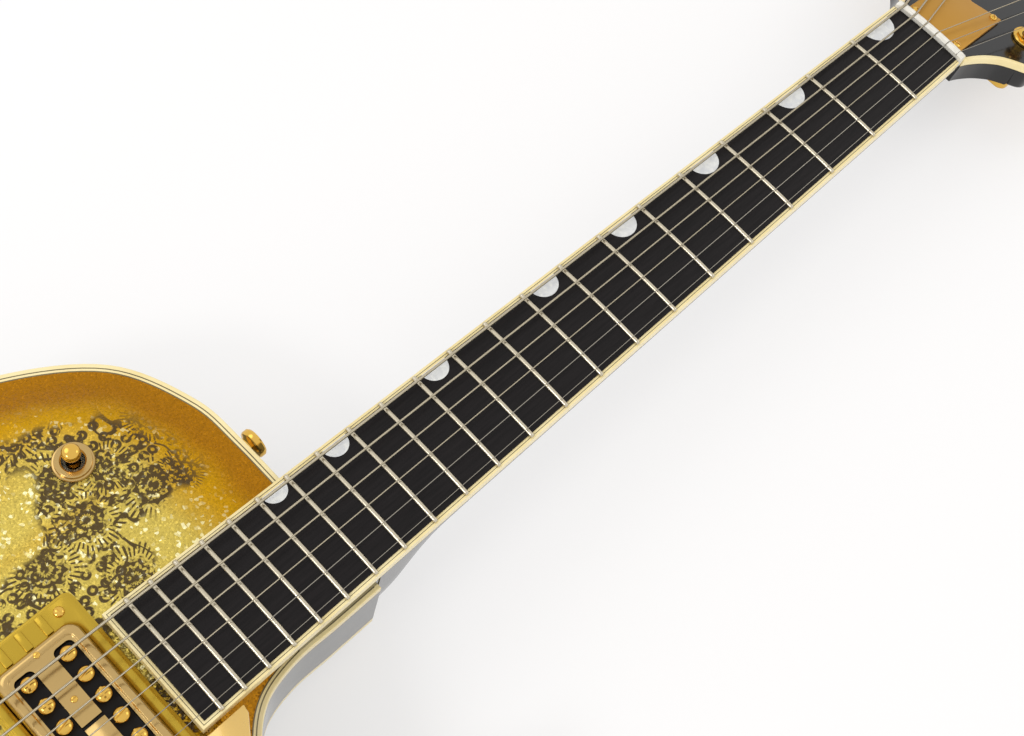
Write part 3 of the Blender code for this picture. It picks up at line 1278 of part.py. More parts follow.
def print_least_gap(name, points, radius):
    """Between stretches of the tube that lie more than half a turn apart."""
    least = min((a - b).length for i, a in enumerate(points) for b in points[i + 6:])
    print(f"{name}: least gap to itself {(least - 2 * radius) * 1000:.2f} mm")


# Controls

def pot_places():
    return (MASTER_KNOB_AT, *KNOBS_AT)


def build_controls(body, top, finishes):
    harness = None
    for name, place in zip(("master_volume_knob", *KNOB_NAMES), pot_places()):
        x, y = -place[0], place[1]
        surface = surface_level(place)
        casing_high = surface - PLATE - POT_BELOW_TOP
        pot = turned("pot_shape_" + name, (
            (POT_RADIUS, casing_high - POT_HEIGHT), (POT_RADIUS, casing_high),
            (POT_BUSHING_RADIUS, casing_high), (POT_BUSHING_RADIUS, surface + KNOB_LIFT / 2)),
            body, finishes["steel"])
        pot.location = (x, y, 0)
        bore = turned("pot_bore_cut_" + name, ((POT_BORE_RADIUS, casing_high - POT_HEIGHT * 0.6),
                                              (POT_BORE_RADIUS, surface + CUTTER_REACH)), body)
        bore.location = (x, y, 0)
        if harness:
            fuse(harness, pot)
        else:
            harness = pot
            harness.name = "control_harness"
        cut_hole(top, "pot_hole_cut_" + name, (x, y), POT_BUSHING_RADIUS + GAP * 1.5, body)
        foot = surface + KNOB_LIFT
        knob = turned(name, (
            (KNOB_SHAFT_RADIUS, casing_high - POT_HEIGHT * 0.45 - foot), (KNOB_SHAFT_RADIUS, 0.0),
            (KNOB_RADIUS, 0.0), (KNOB_RADIUS, KNOB_HEIGHT * 0.16), (KNOB_RADIUS * 0.9, KNOB_HEIGHT * 0.24),
            (KNOB_RADIUS * 0.86, KNOB_HEIGHT * 0.92), (KNOB_RADIUS * 0.76, KNOB_HEIGHT)),
            body, finishes["gold"], segments=16)
        knob.location = (x, y, foot)
    depth = inside_top - WIRE_BELOW_TOP
    ends = [Vector((-p[0], p[1], surface_level(p) - PLATE - POT_BELOW_TOP - POT_HEIGHT + WIRE_RADIUS))
            for p in pot_places()]
    sags = [Vector(((a.x + b.x) / 2, (a.y + b.y) / 2 - WIRE_SAG, depth)) for a, b in zip(ends[1:], ends[2:])]
    route = [ends[0]] + [Vector((-x, y, depth)) for x, y in WIRE_ROUTE]
    route += [ends[1], sags[0], ends[2], sags[1], ends[3]]
    wire = meshed(tube("wire_shape", smooth_curve(route, 1), WIRE_RADIUS, body))
    fuse(harness, wire)
    for name, place in zip(("master_volume_knob", *KNOB_NAMES), pot_places()):
        cut(harness, bpy.data.objects["pot_bore_cut_" + name])

    x, y = -TOGGLE_AT[0], TOGGLE_AT[1]
    surface = surface_level(TOGGLE_AT)
    size = TOGGLE_BODY
    body_high = surface - PLATE - TOGGLE_BELOW_TOP
    collar_radius = TOGGLE_BORE + TOGGLE_COLLAR_WALL
    switch = box("toggle_switch", (x - size[0] / 2, y - size[1] / 2, body_high - size[2]),
                 (x + size[0] / 2, y + size[1] / 2, body_high), body, finishes["gold"])
    collar = turned("toggle_collar_shape", (
        (collar_radius, body_high - GAP * 3), (collar_radius, surface + GAP),
        (TOGGLE_RING_RADIUS, surface + GAP), (TOGGLE_RING_RADIUS, surface + TOGGLE_RING_HEIGHT * 0.6),
        (TOGGLE_RING_RADIUS - 0.0014, surface + TOGGLE_RING_HEIGHT)), body)
    well = turned("toggle_well_cut", ((TOGGLE_BORE, body_high - 0.008), (TOGGLE_BORE, surface + 0.006)), body)
    for piece in (collar, well):
        piece.location = (x, y, 0)
    fuse(switch, collar)
    cut(switch, well)
    cut_hole(top, "toggle_hole_cut", (x, y), collar_radius + GAP * 1.5, body)
    lever = turned("toggle_lever", (
        (0.0016, -0.006), (0.0022, -0.0015), (0.0030, 0.0), (0.0020, 0.0015), (0.0016, 0.004),
        (LEVER_TIP_RADIUS * 0.8, LEVER_RISE * 0.52), (LEVER_TIP_RADIUS, LEVER_RISE * 0.76),
        (LEVER_TIP_RADIUS * 0.75, LEVER_RISE)), body, finishes["gold"], segments=12)
    lever.location = (x, y, surface)


def cut_hole(top, name, place, radius, body):
    low, high = inside_top - TOP_ARCH - CUTTER_REACH, top_flat + CUTTER_REACH
    hole = turned(name, ((radius, low), (radius, high)), body)
    hole.location = (*place, 0)
    cut(top, hole)


def build_side_hardware(body, rims, edge, neck_block, tail_block, finishes):
    middle = (top_edge + back_edge) / 2
    rim_bass, rim_treble = rims
    point = min(edge, key=lambda p: p.y)
    jack = turned("output_jack", (
        (JACK_RADIUS, -JACK_LENGTH), (JACK_RADIUS, GAP * 2), (JACK_FLANGE_RADIUS, GAP * 2),
        (JACK_FLANGE_RADIUS, GAP * 2 + JACK_FLANGE), (JACK_NOSE_RADIUS, jack_reach),
        (JACK_BORE, jack_reach), (JACK_BORE, -JACK_LENGTH)), body,
        finishes["gold"], hollow=True)
    turn_to(jack, (point.x, point.y, middle), (0, -1, 0))
    radius = JACK_RADIUS + GAP * 1.5
    hole = turned("jack_hole_cut", ((radius, -RIM_WALL - LINING_WIDTH), (radius, CUTTER_REACH)), body)
    turn_to(hole, (point.x, point.y, middle), (0, -1, 0))
    cut(rim_treble, hole)

    level_z = top_edge - STRAP_BUTTON_DEPTH
    foot = STRAP_BUTTON_SHAPE[0][1]
    front = max(front_edge_at(edge, STRAP_BUTTON_OFFSET + across) for across in (-foot, 0.0, foot))
    places = (
        ("strap_button_front", Vector((front, STRAP_BUTTON_OFFSET, level_z)), 1, (neck_block, rim_bass)),
        ("strap_button_tail", Vector((-TAIL[0][0], 0, middle)), -1, (tail_block, rim_bass, rim_treble)),
    )
    radius = STRAP_SCREW_RADIUS + GAP * 1.5
    for name, place, direction, drilled in places:
        profile = [(STRAP_SCREW_RADIUS, -STRAP_SCREW_LENGTH), (STRAP_SCREW_RADIUS, 0.0)]
        profile += [(radius, along) for along, radius in STRAP_BUTTON_SHAPE]
        button = turned(name, profile, body, finishes["gold"], segments=14)
        turn_to(button, place + Vector((direction * GAP, 0, 0)), (direction, 0, 0))
        profile = ((radius, -STRAP_SCREW_LENGTH - CUTTER_REACH / 2), (radius, CUTTER_REACH))
        hole = turned(name + "_hole_cut", profile, body, segments=12)
        turn_to(hole, place, (direction, 0, 0))
        for piece in drilled:
            cut(piece, hole)


def front_edge_at(edge, offset):
    """X of the front edge at this offset from the centre line."""
    for a, b in zip(edge, edge[1:]):
        if a.y <= offset < b.y and a.x > -0.02:
            return a.x + (b.x - a.x) * (offset - a.y) / (b.y - a.y)
    return 0.0


def build_pickguard(body, body_front, neck, finishes):
    def to_body(distance, offset):
        return (neck @ Vector((-distance, 0, 0))).x - body_front, offset

    def between(share, offset):
        return to_body(neck_pickup_at + share * (SCALE_LENGTH - neck_pickup_at), offset)

    gap_x = BEZEL_WIDTH / 2 + GUARD_PICKUP_GAP
    gap_y = -BEZEL_LENGTH / 2 - GUARD_PICKUP_GAP
    inner = [
        (bridge_pickup_at + gap_x, gap_y), (bridge_pickup_at - gap_x, gap_y),
        (bridge_pickup_at - gap_x, GUARD_INNER_OFFSET), (neck_pickup_at + gap_x, GUARD_INNER_OFFSET),
        (neck_pickup_at + gap_x, gap_y), (neck_pickup_at - gap_x, gap_y),
        (neck_pickup_at - gap_x, GUARD_INNER_OFFSET),
    ]
    outline = [between(*p) for p in (*GUARD_FRONT, GUARD_REAR)] + [to_body(*p) for p in inner]
    low = top_flat + GUARD_LIFT
    guard = slab("pickguard", outline, low, low + GUARD_THICKNESS, body, finishes["gold_plastic"])
    for place in GUARD_POSTS:
        profile = ((GUARD_POST_RADIUS, top_flat + GAP), (GUARD_POST_RADIUS, low + GUARD_THICKNESS / 2))
        post = turned("guard_post_shape", profile, body, segments=12)
        post.location = (*between(*place), 0)
        fuse(guard, post)


def main():
    clear_scene()
    finishes = {
        "black": material("black_gloss", (0.012, 0.011, 0.011), 0.12),
        "sparkle": material("gold_sparkle", (0.52, 0.33, 0.06), 0.28, 0.55),
        "cream": material("cream_binding", (0.93, 0.82, 0.52), 0.3),
        "ebony": material("ebony", (0.016, 0.013, 0.012), 0.45),
        "gold": material("gold_plate", (0.83, 0.56, 0.19), 0.18, 1.0),
        "bone": material("bone", (0.88, 0.86, 0.80), 0.35),
        "gold_plastic": material("gold_plastic", (0.80, 0.58, 0.24), 0.22, 0.6),
        "steel": material("nickel_steel", (0.62, 0.61, 0.58), 0.25, 1.0),
        "string": material("wound_steel", (0.55, 0.52, 0.45), 0.35, 1.0),
        "maple": material("maple", (0.62, 0.43, 0.22), 0.5),
    }
    neck = neck_matrix(centred_nut_x())
    headstock = headstock_matrix(neck)
    body_front = front_edge_x(neck)
    body_frame = add_frame("body_frame", Matrix.Translation((body_front, centre_line, 0)))
    neck_frame = add_frame("neck_frame", neck)
    headstock_frame = add_frame("headstock_frame", headstock)

    edge, flat = body_outlines()
    top = build_plates(body_frame, edge, flat, finishes)
    rims = build_rim(body_frame, edge, finishes)
    neck_block, tail_block = build_blocks(body_frame, edge, flat, finishes)
    half_outline = build_neck(neck_frame, headstock_frame, neck, body_front, finishes)
    build_headstock_trim(headstock_frame, half_outline, finishes)
    build_fingerboard(neck_frame, finishes)
    axis = Vector((-TAIL[0][0] + ROCKER_FROM_TAIL, 0, top_flat + ROCKER_RISE))
    axis_in_world = axis + Vector((body_front, centre_line, 0))
    cutters = [string_cutter(number, axis_in_world, neck, neck_frame) for number in range(6)]
    build_nut(neck_frame, cutters, finishes)
    build_truss_rod(neck_frame, finishes)
    build_tuners(headstock_frame, finishes)
    for name, distance, height in (("neck_pickup", neck_pickup_at, NECK_BEZEL_HEIGHT),
                                   ("bridge_pickup", bridge_pickup_at, BRIDGE_BEZEL_HEIGHT)):
        build_pickup(name, distance, height, body_frame, body_front, neck, top, finishes)
    build_bridge(body_frame, body_front, neck, cutters, finishes)
    build_vibrato(body_frame, axis, finishes)
    build_strings(neck_frame, neck, axis_in_world, finishes)
    build_pickguard(body_frame, body_front, neck, finishes)
    build_controls(body_frame, top, finishes)
    build_side_hardware(body_frame, rims, edge, neck_block, tail_block, finishes)


main()
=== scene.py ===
import math
import random

import bmesh
import bpy
from mathutils import Matrix, Vector


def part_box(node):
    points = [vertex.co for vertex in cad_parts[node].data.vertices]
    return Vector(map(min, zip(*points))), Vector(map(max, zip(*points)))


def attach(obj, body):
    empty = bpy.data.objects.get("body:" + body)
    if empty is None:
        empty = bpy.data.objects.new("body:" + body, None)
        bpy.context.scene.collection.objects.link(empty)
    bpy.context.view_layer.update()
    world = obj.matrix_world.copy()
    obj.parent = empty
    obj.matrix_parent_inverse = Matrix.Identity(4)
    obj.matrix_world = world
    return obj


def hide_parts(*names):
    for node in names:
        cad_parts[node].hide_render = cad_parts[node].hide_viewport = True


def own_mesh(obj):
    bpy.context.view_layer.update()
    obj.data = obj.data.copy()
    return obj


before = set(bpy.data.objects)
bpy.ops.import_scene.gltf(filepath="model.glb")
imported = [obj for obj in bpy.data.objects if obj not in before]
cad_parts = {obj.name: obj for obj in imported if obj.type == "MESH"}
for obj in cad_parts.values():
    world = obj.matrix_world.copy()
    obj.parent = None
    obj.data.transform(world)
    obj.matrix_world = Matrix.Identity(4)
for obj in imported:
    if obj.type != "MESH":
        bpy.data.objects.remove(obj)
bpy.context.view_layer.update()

print("frame loaded")

# Three places that the pieces are modelled in: the body from its front edge, the neck from
# the nut with its fret tops at level 0, and the headstock's face. Metres throughout.
sideways = 0.0018                # of the guitar's middle line
neckAngle = math.radians(2)
bodyPlace = Matrix.Translation((-0.0214914, sideways, 0))
neckPlace = Matrix.Translation((0.367348, sideways, 0.061932)) @ Matrix.Rotation(neckAngle, 4, 'Y')
headInNeck = Matrix.Translation((0.005, 0, -0.005)) @ Matrix.Rotation(math.radians(10), 4, 'Y')
headPlace = neckPlace @ headInNeck
gap = 0.0003                     # between pieces of the frame that touch
touch = 0.00005                  # between new pieces that touch


# Camera, light and floor

camera = {
    "lens": 53.67,
    "place": (-0.55895, -0.12471, 0.54778),   # in the neck's place
    "right": (0.69773, -0.69286, 0.18198),
    "up": (0.57200, 0.69179, 0.44073),
    "back": (-0.43126, -0.20342, 0.87900),
}
light = {
    "keyPower": 5, "keySize": 1.3, "keyPlace": (-0.5, 1.5, 1.9),
    "fillPower": 8, "fillSize": 0.45, "fillPlace": (-1.6, 0.09, 1.35),     # it glints on the frets
    "rimPower": 2, "rimSize": 0.8, "rimPlace": (1.5, -0.6, 1.3),
    "roomStrength": 0.92,
    "floorColour": "#ABA9A8", "floorGlow": 0.56, "floorSize": 14, "floorLevel": -0.0003,    # backlit paper
}


def srgb(code):
    parts = [int(code[i:i + 2], 16) / 255 for i in (1, 3, 5)]
    return (*[c / 12.92 if c <= 0.04045 else ((c + 0.055) / 1.055) ** 2.4 for c in parts], 1.0)


# Colours are given as sRGB codes, and the answer is one of the new node's outputs
def addNode(tree, kind, inputs=None, out=0, **settings):
    node = tree.nodes.new('ShaderNode' + kind)
    for key, value in settings.items():
        setattr(node, key, value)
    for key, value in (inputs or {}).items():
        if isinstance(value, bpy.types.NodeSocket):
            tree.links.new(value, node.inputs[key])
        else:
            node.inputs[key].default_value = srgb(value) if isinstance(value, str) else value
    return node.outputs[out] if node.outputs else node


def addCamera():
    data = bpy.data.cameras.new("photoCamera")
    data.lens = camera["lens"]
    data.sensor_width = 36
    data.clip_start = 0.01
    seen = bpy.data.objects.new("photoCamera", data)
    bpy.context.scene.collection.objects.link(seen)
    turn = Matrix([camera["right"], camera["up"], camera["back"]]).transposed().to_4x4()
    seen.matrix_world = neckPlace @ Matrix.Translation(camera["place"]) @ turn
    bpy.context.scene.camera = seen


# A round lamp that shines on the origin
def addLamp(name, power, size, place):
    data = bpy.data.lights.new(name, 'AREA')
    data.energy = power
    data.shape = 'DISK'
    data.size = size
    lamp = bpy.data.objects.new(name, data)
    bpy.context.scene.collection.objects.link(lamp)
    lamp.location = place
    lamp.rotation_mode = 'QUATERNION'
    lamp.rotation_quaternion = (-Vector(place)).to_track_quat('-Z', 'Y')


def addRoom():
    world = bpy.data.worlds.new("paleRoom")
    bpy.context.scene.world = world
    world.use_nodes = True
    tree = world.node_tree
    tree.nodes.clear()
    seen = addNode(tree, 'LightPath', out='Is Camera Ray')
    for kind in ('Is Glossy Ray', 'Is Transmission Ray'):
        ray = addNode(tree, 'LightPath', out=kind)
        seen = addNode(tree, 'Math', {0: seen, 1: ray}, operation='MAXIMUM')
    room = addNode(tree, 'Background', {'Color': "#FFFFFF", 'Strength': light["roomStrength"]})
    white = addNode(tree, 'Background', {'Color': "#FFFFFF", 'Strength': 1.0})
    both = addNode(tree, 'MixShader', {0: seen, 1: room, 2: white})
    addNode(tree, 'OutputWorld', {'Surface': both})


def addFloor():
    unselect()
    bpy.ops.mesh.primitive_plane_add(size=light["floorSize"], location=(0, 0, light["floorLevel"]))
    floor = bpy.context.object
    floor.name = "floor"
    painted = bpy.data.materials.new("paperSweep")   # matt white paper
    painted.use_nodes = True
    shader = painted.node_tree.nodes["Principled BSDF"]
    shader.inputs['Base Color'].default_value = srgb(light["floorColour"])
    shader.inputs['Emission Color'].default_value = (1, 1, 1, 1)
    shader.inputs['Emission Strength'].default_value = light["floorGlow"]
    shader.inputs['Roughness'].default_value = 0.9
    shader.inputs['Specular IOR Level'].default_value = 0.1
    floor.data.materials.append(painted)


# Modelling tools

def unselect():
    if bpy.context.object and bpy.context.object.mode != 'OBJECT':
        bpy.ops.object.mode_set(mode='OBJECT')
    bpy.ops.object.select_all(action='DESELECT')


def pick(obj):
    unselect()
    obj.select_set(True)
    bpy.context.view_layer.objects.active = obj


# A circle is added and extruded once for each further ring, and every ring goes onto its points.
# The first and the last ring are closed with a face, or joined to each other.
def ringStack(name, rings, joined=False):
    unselect()
    bpy.ops.mesh.primitive_circle_add(vertices=len(rings[0]), radius=0.01)
    obj = bpy.context.object
    obj.name = obj.data.name = name
    bpy.ops.object.mode_set(mode='EDIT')
    mesh = bmesh.from_edit_mesh(obj.data)
    mesh.verts.ensure_lookup_table()
    order = list(range(len(rings[0])))
    for k, point in enumerate(rings[0]):
        mesh.verts[k].co = point
    for ring in rings[1:] + ([rings[0]] if joined else []):
        bpy.ops.mesh.extrude_edges_move()
        mesh = bmesh.from_edit_mesh(obj.data)
        mesh.verts.index_update()
        spot = {index: k for k, index in enumerate(order)}
        following = [0] * len(order)
        for vert in mesh.verts:
            if vert.select:
                old = next(e.other_vert(vert) for e in vert.link_edges if not e.other_vert(vert).select)
                k = spot[old.index]
                vert.co = ring[k]
                following[k] = vert.index
        order = following
    bmesh.update_edit_mesh(obj.data)
    if joined:
        bpy.ops.mesh.select_all(action='SELECT')
        bpy.ops.mesh.remove_doubles(threshold=1e-7)
    else:
        bpy.ops.mesh.edge_face_add()
        bpy.ops.mesh.select_all(action='DESELECT')
        mesh = bmesh.from_edit_mesh(obj.data)
        for edge in mesh.edges:
            if all(vert.index < len(rings[0]) for vert in edge.verts):
                edge.select_set(True)
        bmesh.update_edit_mesh(obj.data)
        bpy.ops.mesh.edge_face_add()
    bpy.ops.object.mode_set(mode='OBJECT')
    return obj


def ringOf(radius, level, count):
    turns = [2 * math.pi * i / count for i in range(count)]
    return [Vector((radius * math.cos(a), radius * math.sin(a), level)) for a in turns]


# (radius, level) points turned round Z
def turned(name, profile, count=32, joined=False):
    return ringStack(name, [ringOf(r, z, count) for r, z in profile], joined)


# (place along X, level) points in the plane at y
def sideRing(profile, y, ahead=0.0):
    return [Vector((ahead + x, y, z)) for x, z in profile]


def plate(name, outline, low, high):
    return ringStack(name, [[Vector((x, y, z)) for x, y in outline] for z in (low, high)])


def block(name, low, high):
    unselect()
    bpy.ops.mesh.primitive_cube_add(size=1)
    obj = bpy.context.object
    obj.name = obj.data.name = name
    middle = [(a + b) / 2 for a, b in zip(low, high)]
    size = [b - a for a, b in zip(low, high)]
    obj.data.transform(Matrix.Translation(middle) @ Matrix.Diagonal((*size, 1)))
    return obj


def applied(obj, kind, **settings):
    modifier = obj.modifiers.new(kind, kind)
    for key, value in settings.items():
        setattr(modifier, key, value)
    pick(obj)
    bpy.ops.object.modifier_apply(modifier=modifier.name)
    return obj


def soften(obj, width, segments=2, angle=30):
    return applied(obj, 'BEVEL', width=width, segments=segments, limit_method='ANGLE',
                   angle_limit=math.radians(angle))


def facingOut(obj):
    pick(obj)
    bpy.ops.object.mode_set(mode='EDIT')
    bpy.ops.mesh.select_all(action='SELECT')
    bpy.ops.mesh.normals_make_consistent(inside=False)
    if bmesh.from_edit_mesh(obj.data).calc_volume(signed=True) < 0:
        bpy.ops.mesh.flip_normals()
    bpy.ops.object.mode_set(mode='OBJECT')
    return obj


def discard(*objects):
    for obj in objects:
        bpy.data.objects.remove(obj, do_unlink=True)


def carve(obj, *cutters, how='DIFFERENCE'):
    facingOut(obj)
    for cutter in cutters:
        facingOut(cutter)
        applied(obj, 'BOOLEAN', operation=how, solver='EXACT', object=cutter)
        discard(cutter)
        if not obj.data.polygons:
            raise ValueError("nothing is left of " + obj.name)
    return obj


def together(name, pieces):
    unselect()
    for piece in pieces:
        piece.select_set(True)
    bpy.context.view_layer.objects.active = pieces[0]
    bpy.ops.object.join()
    pieces[0].name = pieces[0].data.name = name
    return pieces[0]


def copied(obj, name, matrix):
    made = obj.copy()
    made.data = obj.data.copy()
    made.name = made.data.name = name
    bpy.context.scene.collection.objects.link(made)
    made.data.transform(matrix)
    return made


def moved(obj, matrix):
    obj.data.transform(matrix)
    return obj


def at(x, y, z=0.0):
    return Matrix.Translation((x, y, z))


def turnedBy(angle):
    return Matrix.Rotation(angle, 4, 'Z')


def finished(obj, place, body, finishes, nodes=(), smooth=35):
    obj.data.transform(place)
    facingOut(obj)
    bpy.ops.object.shade_smooth_by_angle(angle=math.radians(smooth))
    for material in finishes:
        obj.data.materials.append(material)
    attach(obj, body)
    if nodes:
        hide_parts(*nodes)
    return obj


def finishedGold(obj, place, nodes=(), body="guitar", smooth=35):
    return finished(obj, place, body, [finish["gold"]], nodes, smooth)


# Copies of a screw, joined to one piece; the screw itself goes
def screwGroup(name, screw, spots, place):
    copies = [copied(screw, "screwCopy", spot) for spot in spots]
    discard(screw)
    return finishedGold(together(name, copies), place)


# Points on a smooth curve through all the points given, ends included
def smoothCurve(points, steps):
    points = [Vector(p) for p in points]
    ends = [2 * points[0] - points[1]] + points + [2 * points[-1] - points[-2]]
    found = []
    for a, b, c, d in zip(ends, ends[1:], ends[2:], ends[3:]):
        for i in range(steps):
            t = i / steps
            found.append(0.5 * (2 * b + (c - a) * t + (2 * a - 5 * b + 4 * c - d) * t ** 2
                                + (3 * b - a - 3 * c + d) * t ** 3))
    return found + [points[-1]]


def inset(outline, distance):
    found = []
    area = sum(a.cross(b) for a, b in zip(outline, outline[1:] + outline[:1]))
    turn = math.copysign(1.0, area)
    for i, point in enumerate(outline):
        before = (point - outline[i - 1]).normalized()
        after = (outline[(i + 1) % len(outline)] - point).normalized()
        inBefore = Vector((-before.y, before.x)) * turn
        inAfter = Vector((-after.y, after.x)) * turn
        middle = (inBefore + inAfter).normalized()
        found.append(point + middle * (distance / max(middle.dot(inAfter), 0.5)))
    return found


def roundedBox(halfX, halfY, radius, steps=6):
    points = []
    for start, (sx, sy) in zip((0, 90, 180, 270), ((1, 1), (-1, 1), (-1, -1), (1, -1))):
        for i in range(steps + 1):
            turn = math.radians(start + 90 * i / steps)
            points.append((sx * (halfX - radius) + radius * math.cos(turn),
                           sy * (halfY - radius) + radius * math.sin(turn)))
    return points


# A round bar along a line of points; its rings keep their turn from one to the next
def roundBar(name, points, radii, count):
    side = None
    rings = []
    for i, point in enumerate(points):
        ahead = (points[min(i + 1, len(points) - 1)] - points[max(i - 1, 0)]).normalized()
        side = ahead.orthogonal() if side is None else side
        side = (side - ahead * side.dot(ahead)).normalized()
        up = ahead.cross(side)
        radius = radii if isinstance(radii, float) else radii[i]
        turns = [2 * math.pi * k / count for k in range(count)]
        rings.append([point + (side * math.cos(a) + up * math.sin(a)) * radius for a in turns])
    return ringStack(name, rings)


# Turns Z onto the direction and puts the origin at the place
def aimed(place, direction):
    return Matrix.Translation(place) @ Vector(direction).to_track_quat('Z', 'Y').to_matrix().to_4x4()


# Finishes

def newFinish(name, colour, roughness, metallic=0.0, **sockets):
    made = bpy.data.materials.new(name)
    made.use_nodes = True
    tree = made.node_tree
    shader = tree.nodes["Principled BSDF"]
    shader.inputs['Base Color'].default_value = srgb(colour)
    shader.inputs['Roughness'].default_value = roughness
    shader.inputs['Metallic'].default_value = metallic
    for key, value in sockets.items():
        shader.inputs[key.replace('_', ' ')].default_value = value
    place = addNode(tree, 'TexCoord', out='Object')
    return made, tree, shader, place


def joinInputs(tree, shader, sources):
    for key, source in sources.items():
        tree.links.new(source, shader.inputs[key])


# Polyester lacquer over stained maple, sanded and buffed: deep black, with very shallow waves
# about 6 mm long.
def makeBlackLacquer(name, density=1.5):
    made, tree, shader, place = newFinish(name, "#0B0A0A", 0.14, IOR=density)
    waves = addNode(tree, 'TexNoise', {'Vector': place, 'Scale': 170.0, 'Detail': 1.0})
    wear = addNode(tree, 'TexNoise', {'Vector': place, 'Scale': 45.0, 'Detail': 4.0})
    gloss = addNode(tree, 'MapRange', {0: wear, 1: 0.3, 2: 0.7, 3: 0.1, 4: 0.18})
    colour = addNode(tree, 'Mix', {0: wear, 6: "#090808", 7: "#0F0D0D"}, 2, data_type='RGBA')
    bump = addNode(tree, 'Bump', {'Height': waves, 'Strength': 0.05, 'Distance': 0.0004})
    joinInputs(tree, shader, {'Roughness': gloss, 'Base Color': colour, 'Normal': bump})
    return made


# Metal flake in lacquer under a clear coat: flakes 0.6 and 1.3 mm across, pale gold in the middle,
# yellow and then amber towards the edge, with a printed brown design of rosettes and beads.
sparkle = {
    "fineFlake": 0.0006, "coarseFlake": 0.0013,
    # the glint colour is a painted glint, put on a few coarse flakes
    "paleGold": "#D2BA58", "yellowGold": "#C99606", "amber": "#A97008", "paintedGlint": "#FDF4BE",
    "print": "#3B280B",
    "rosetteSpacing": 0.025, "rosetteRadius": 0.0105, "petals": 9.0,
    "beadSpacing": 0.0058, "vineScale": 52.0, "bareScale": 17.0,
    # distance from the edge at which each band begins and is full
    "yellowBand": (0.010, 0.026), "paleBand": (0.024, 0.046), "printBand": (0.015, 0.027),
}


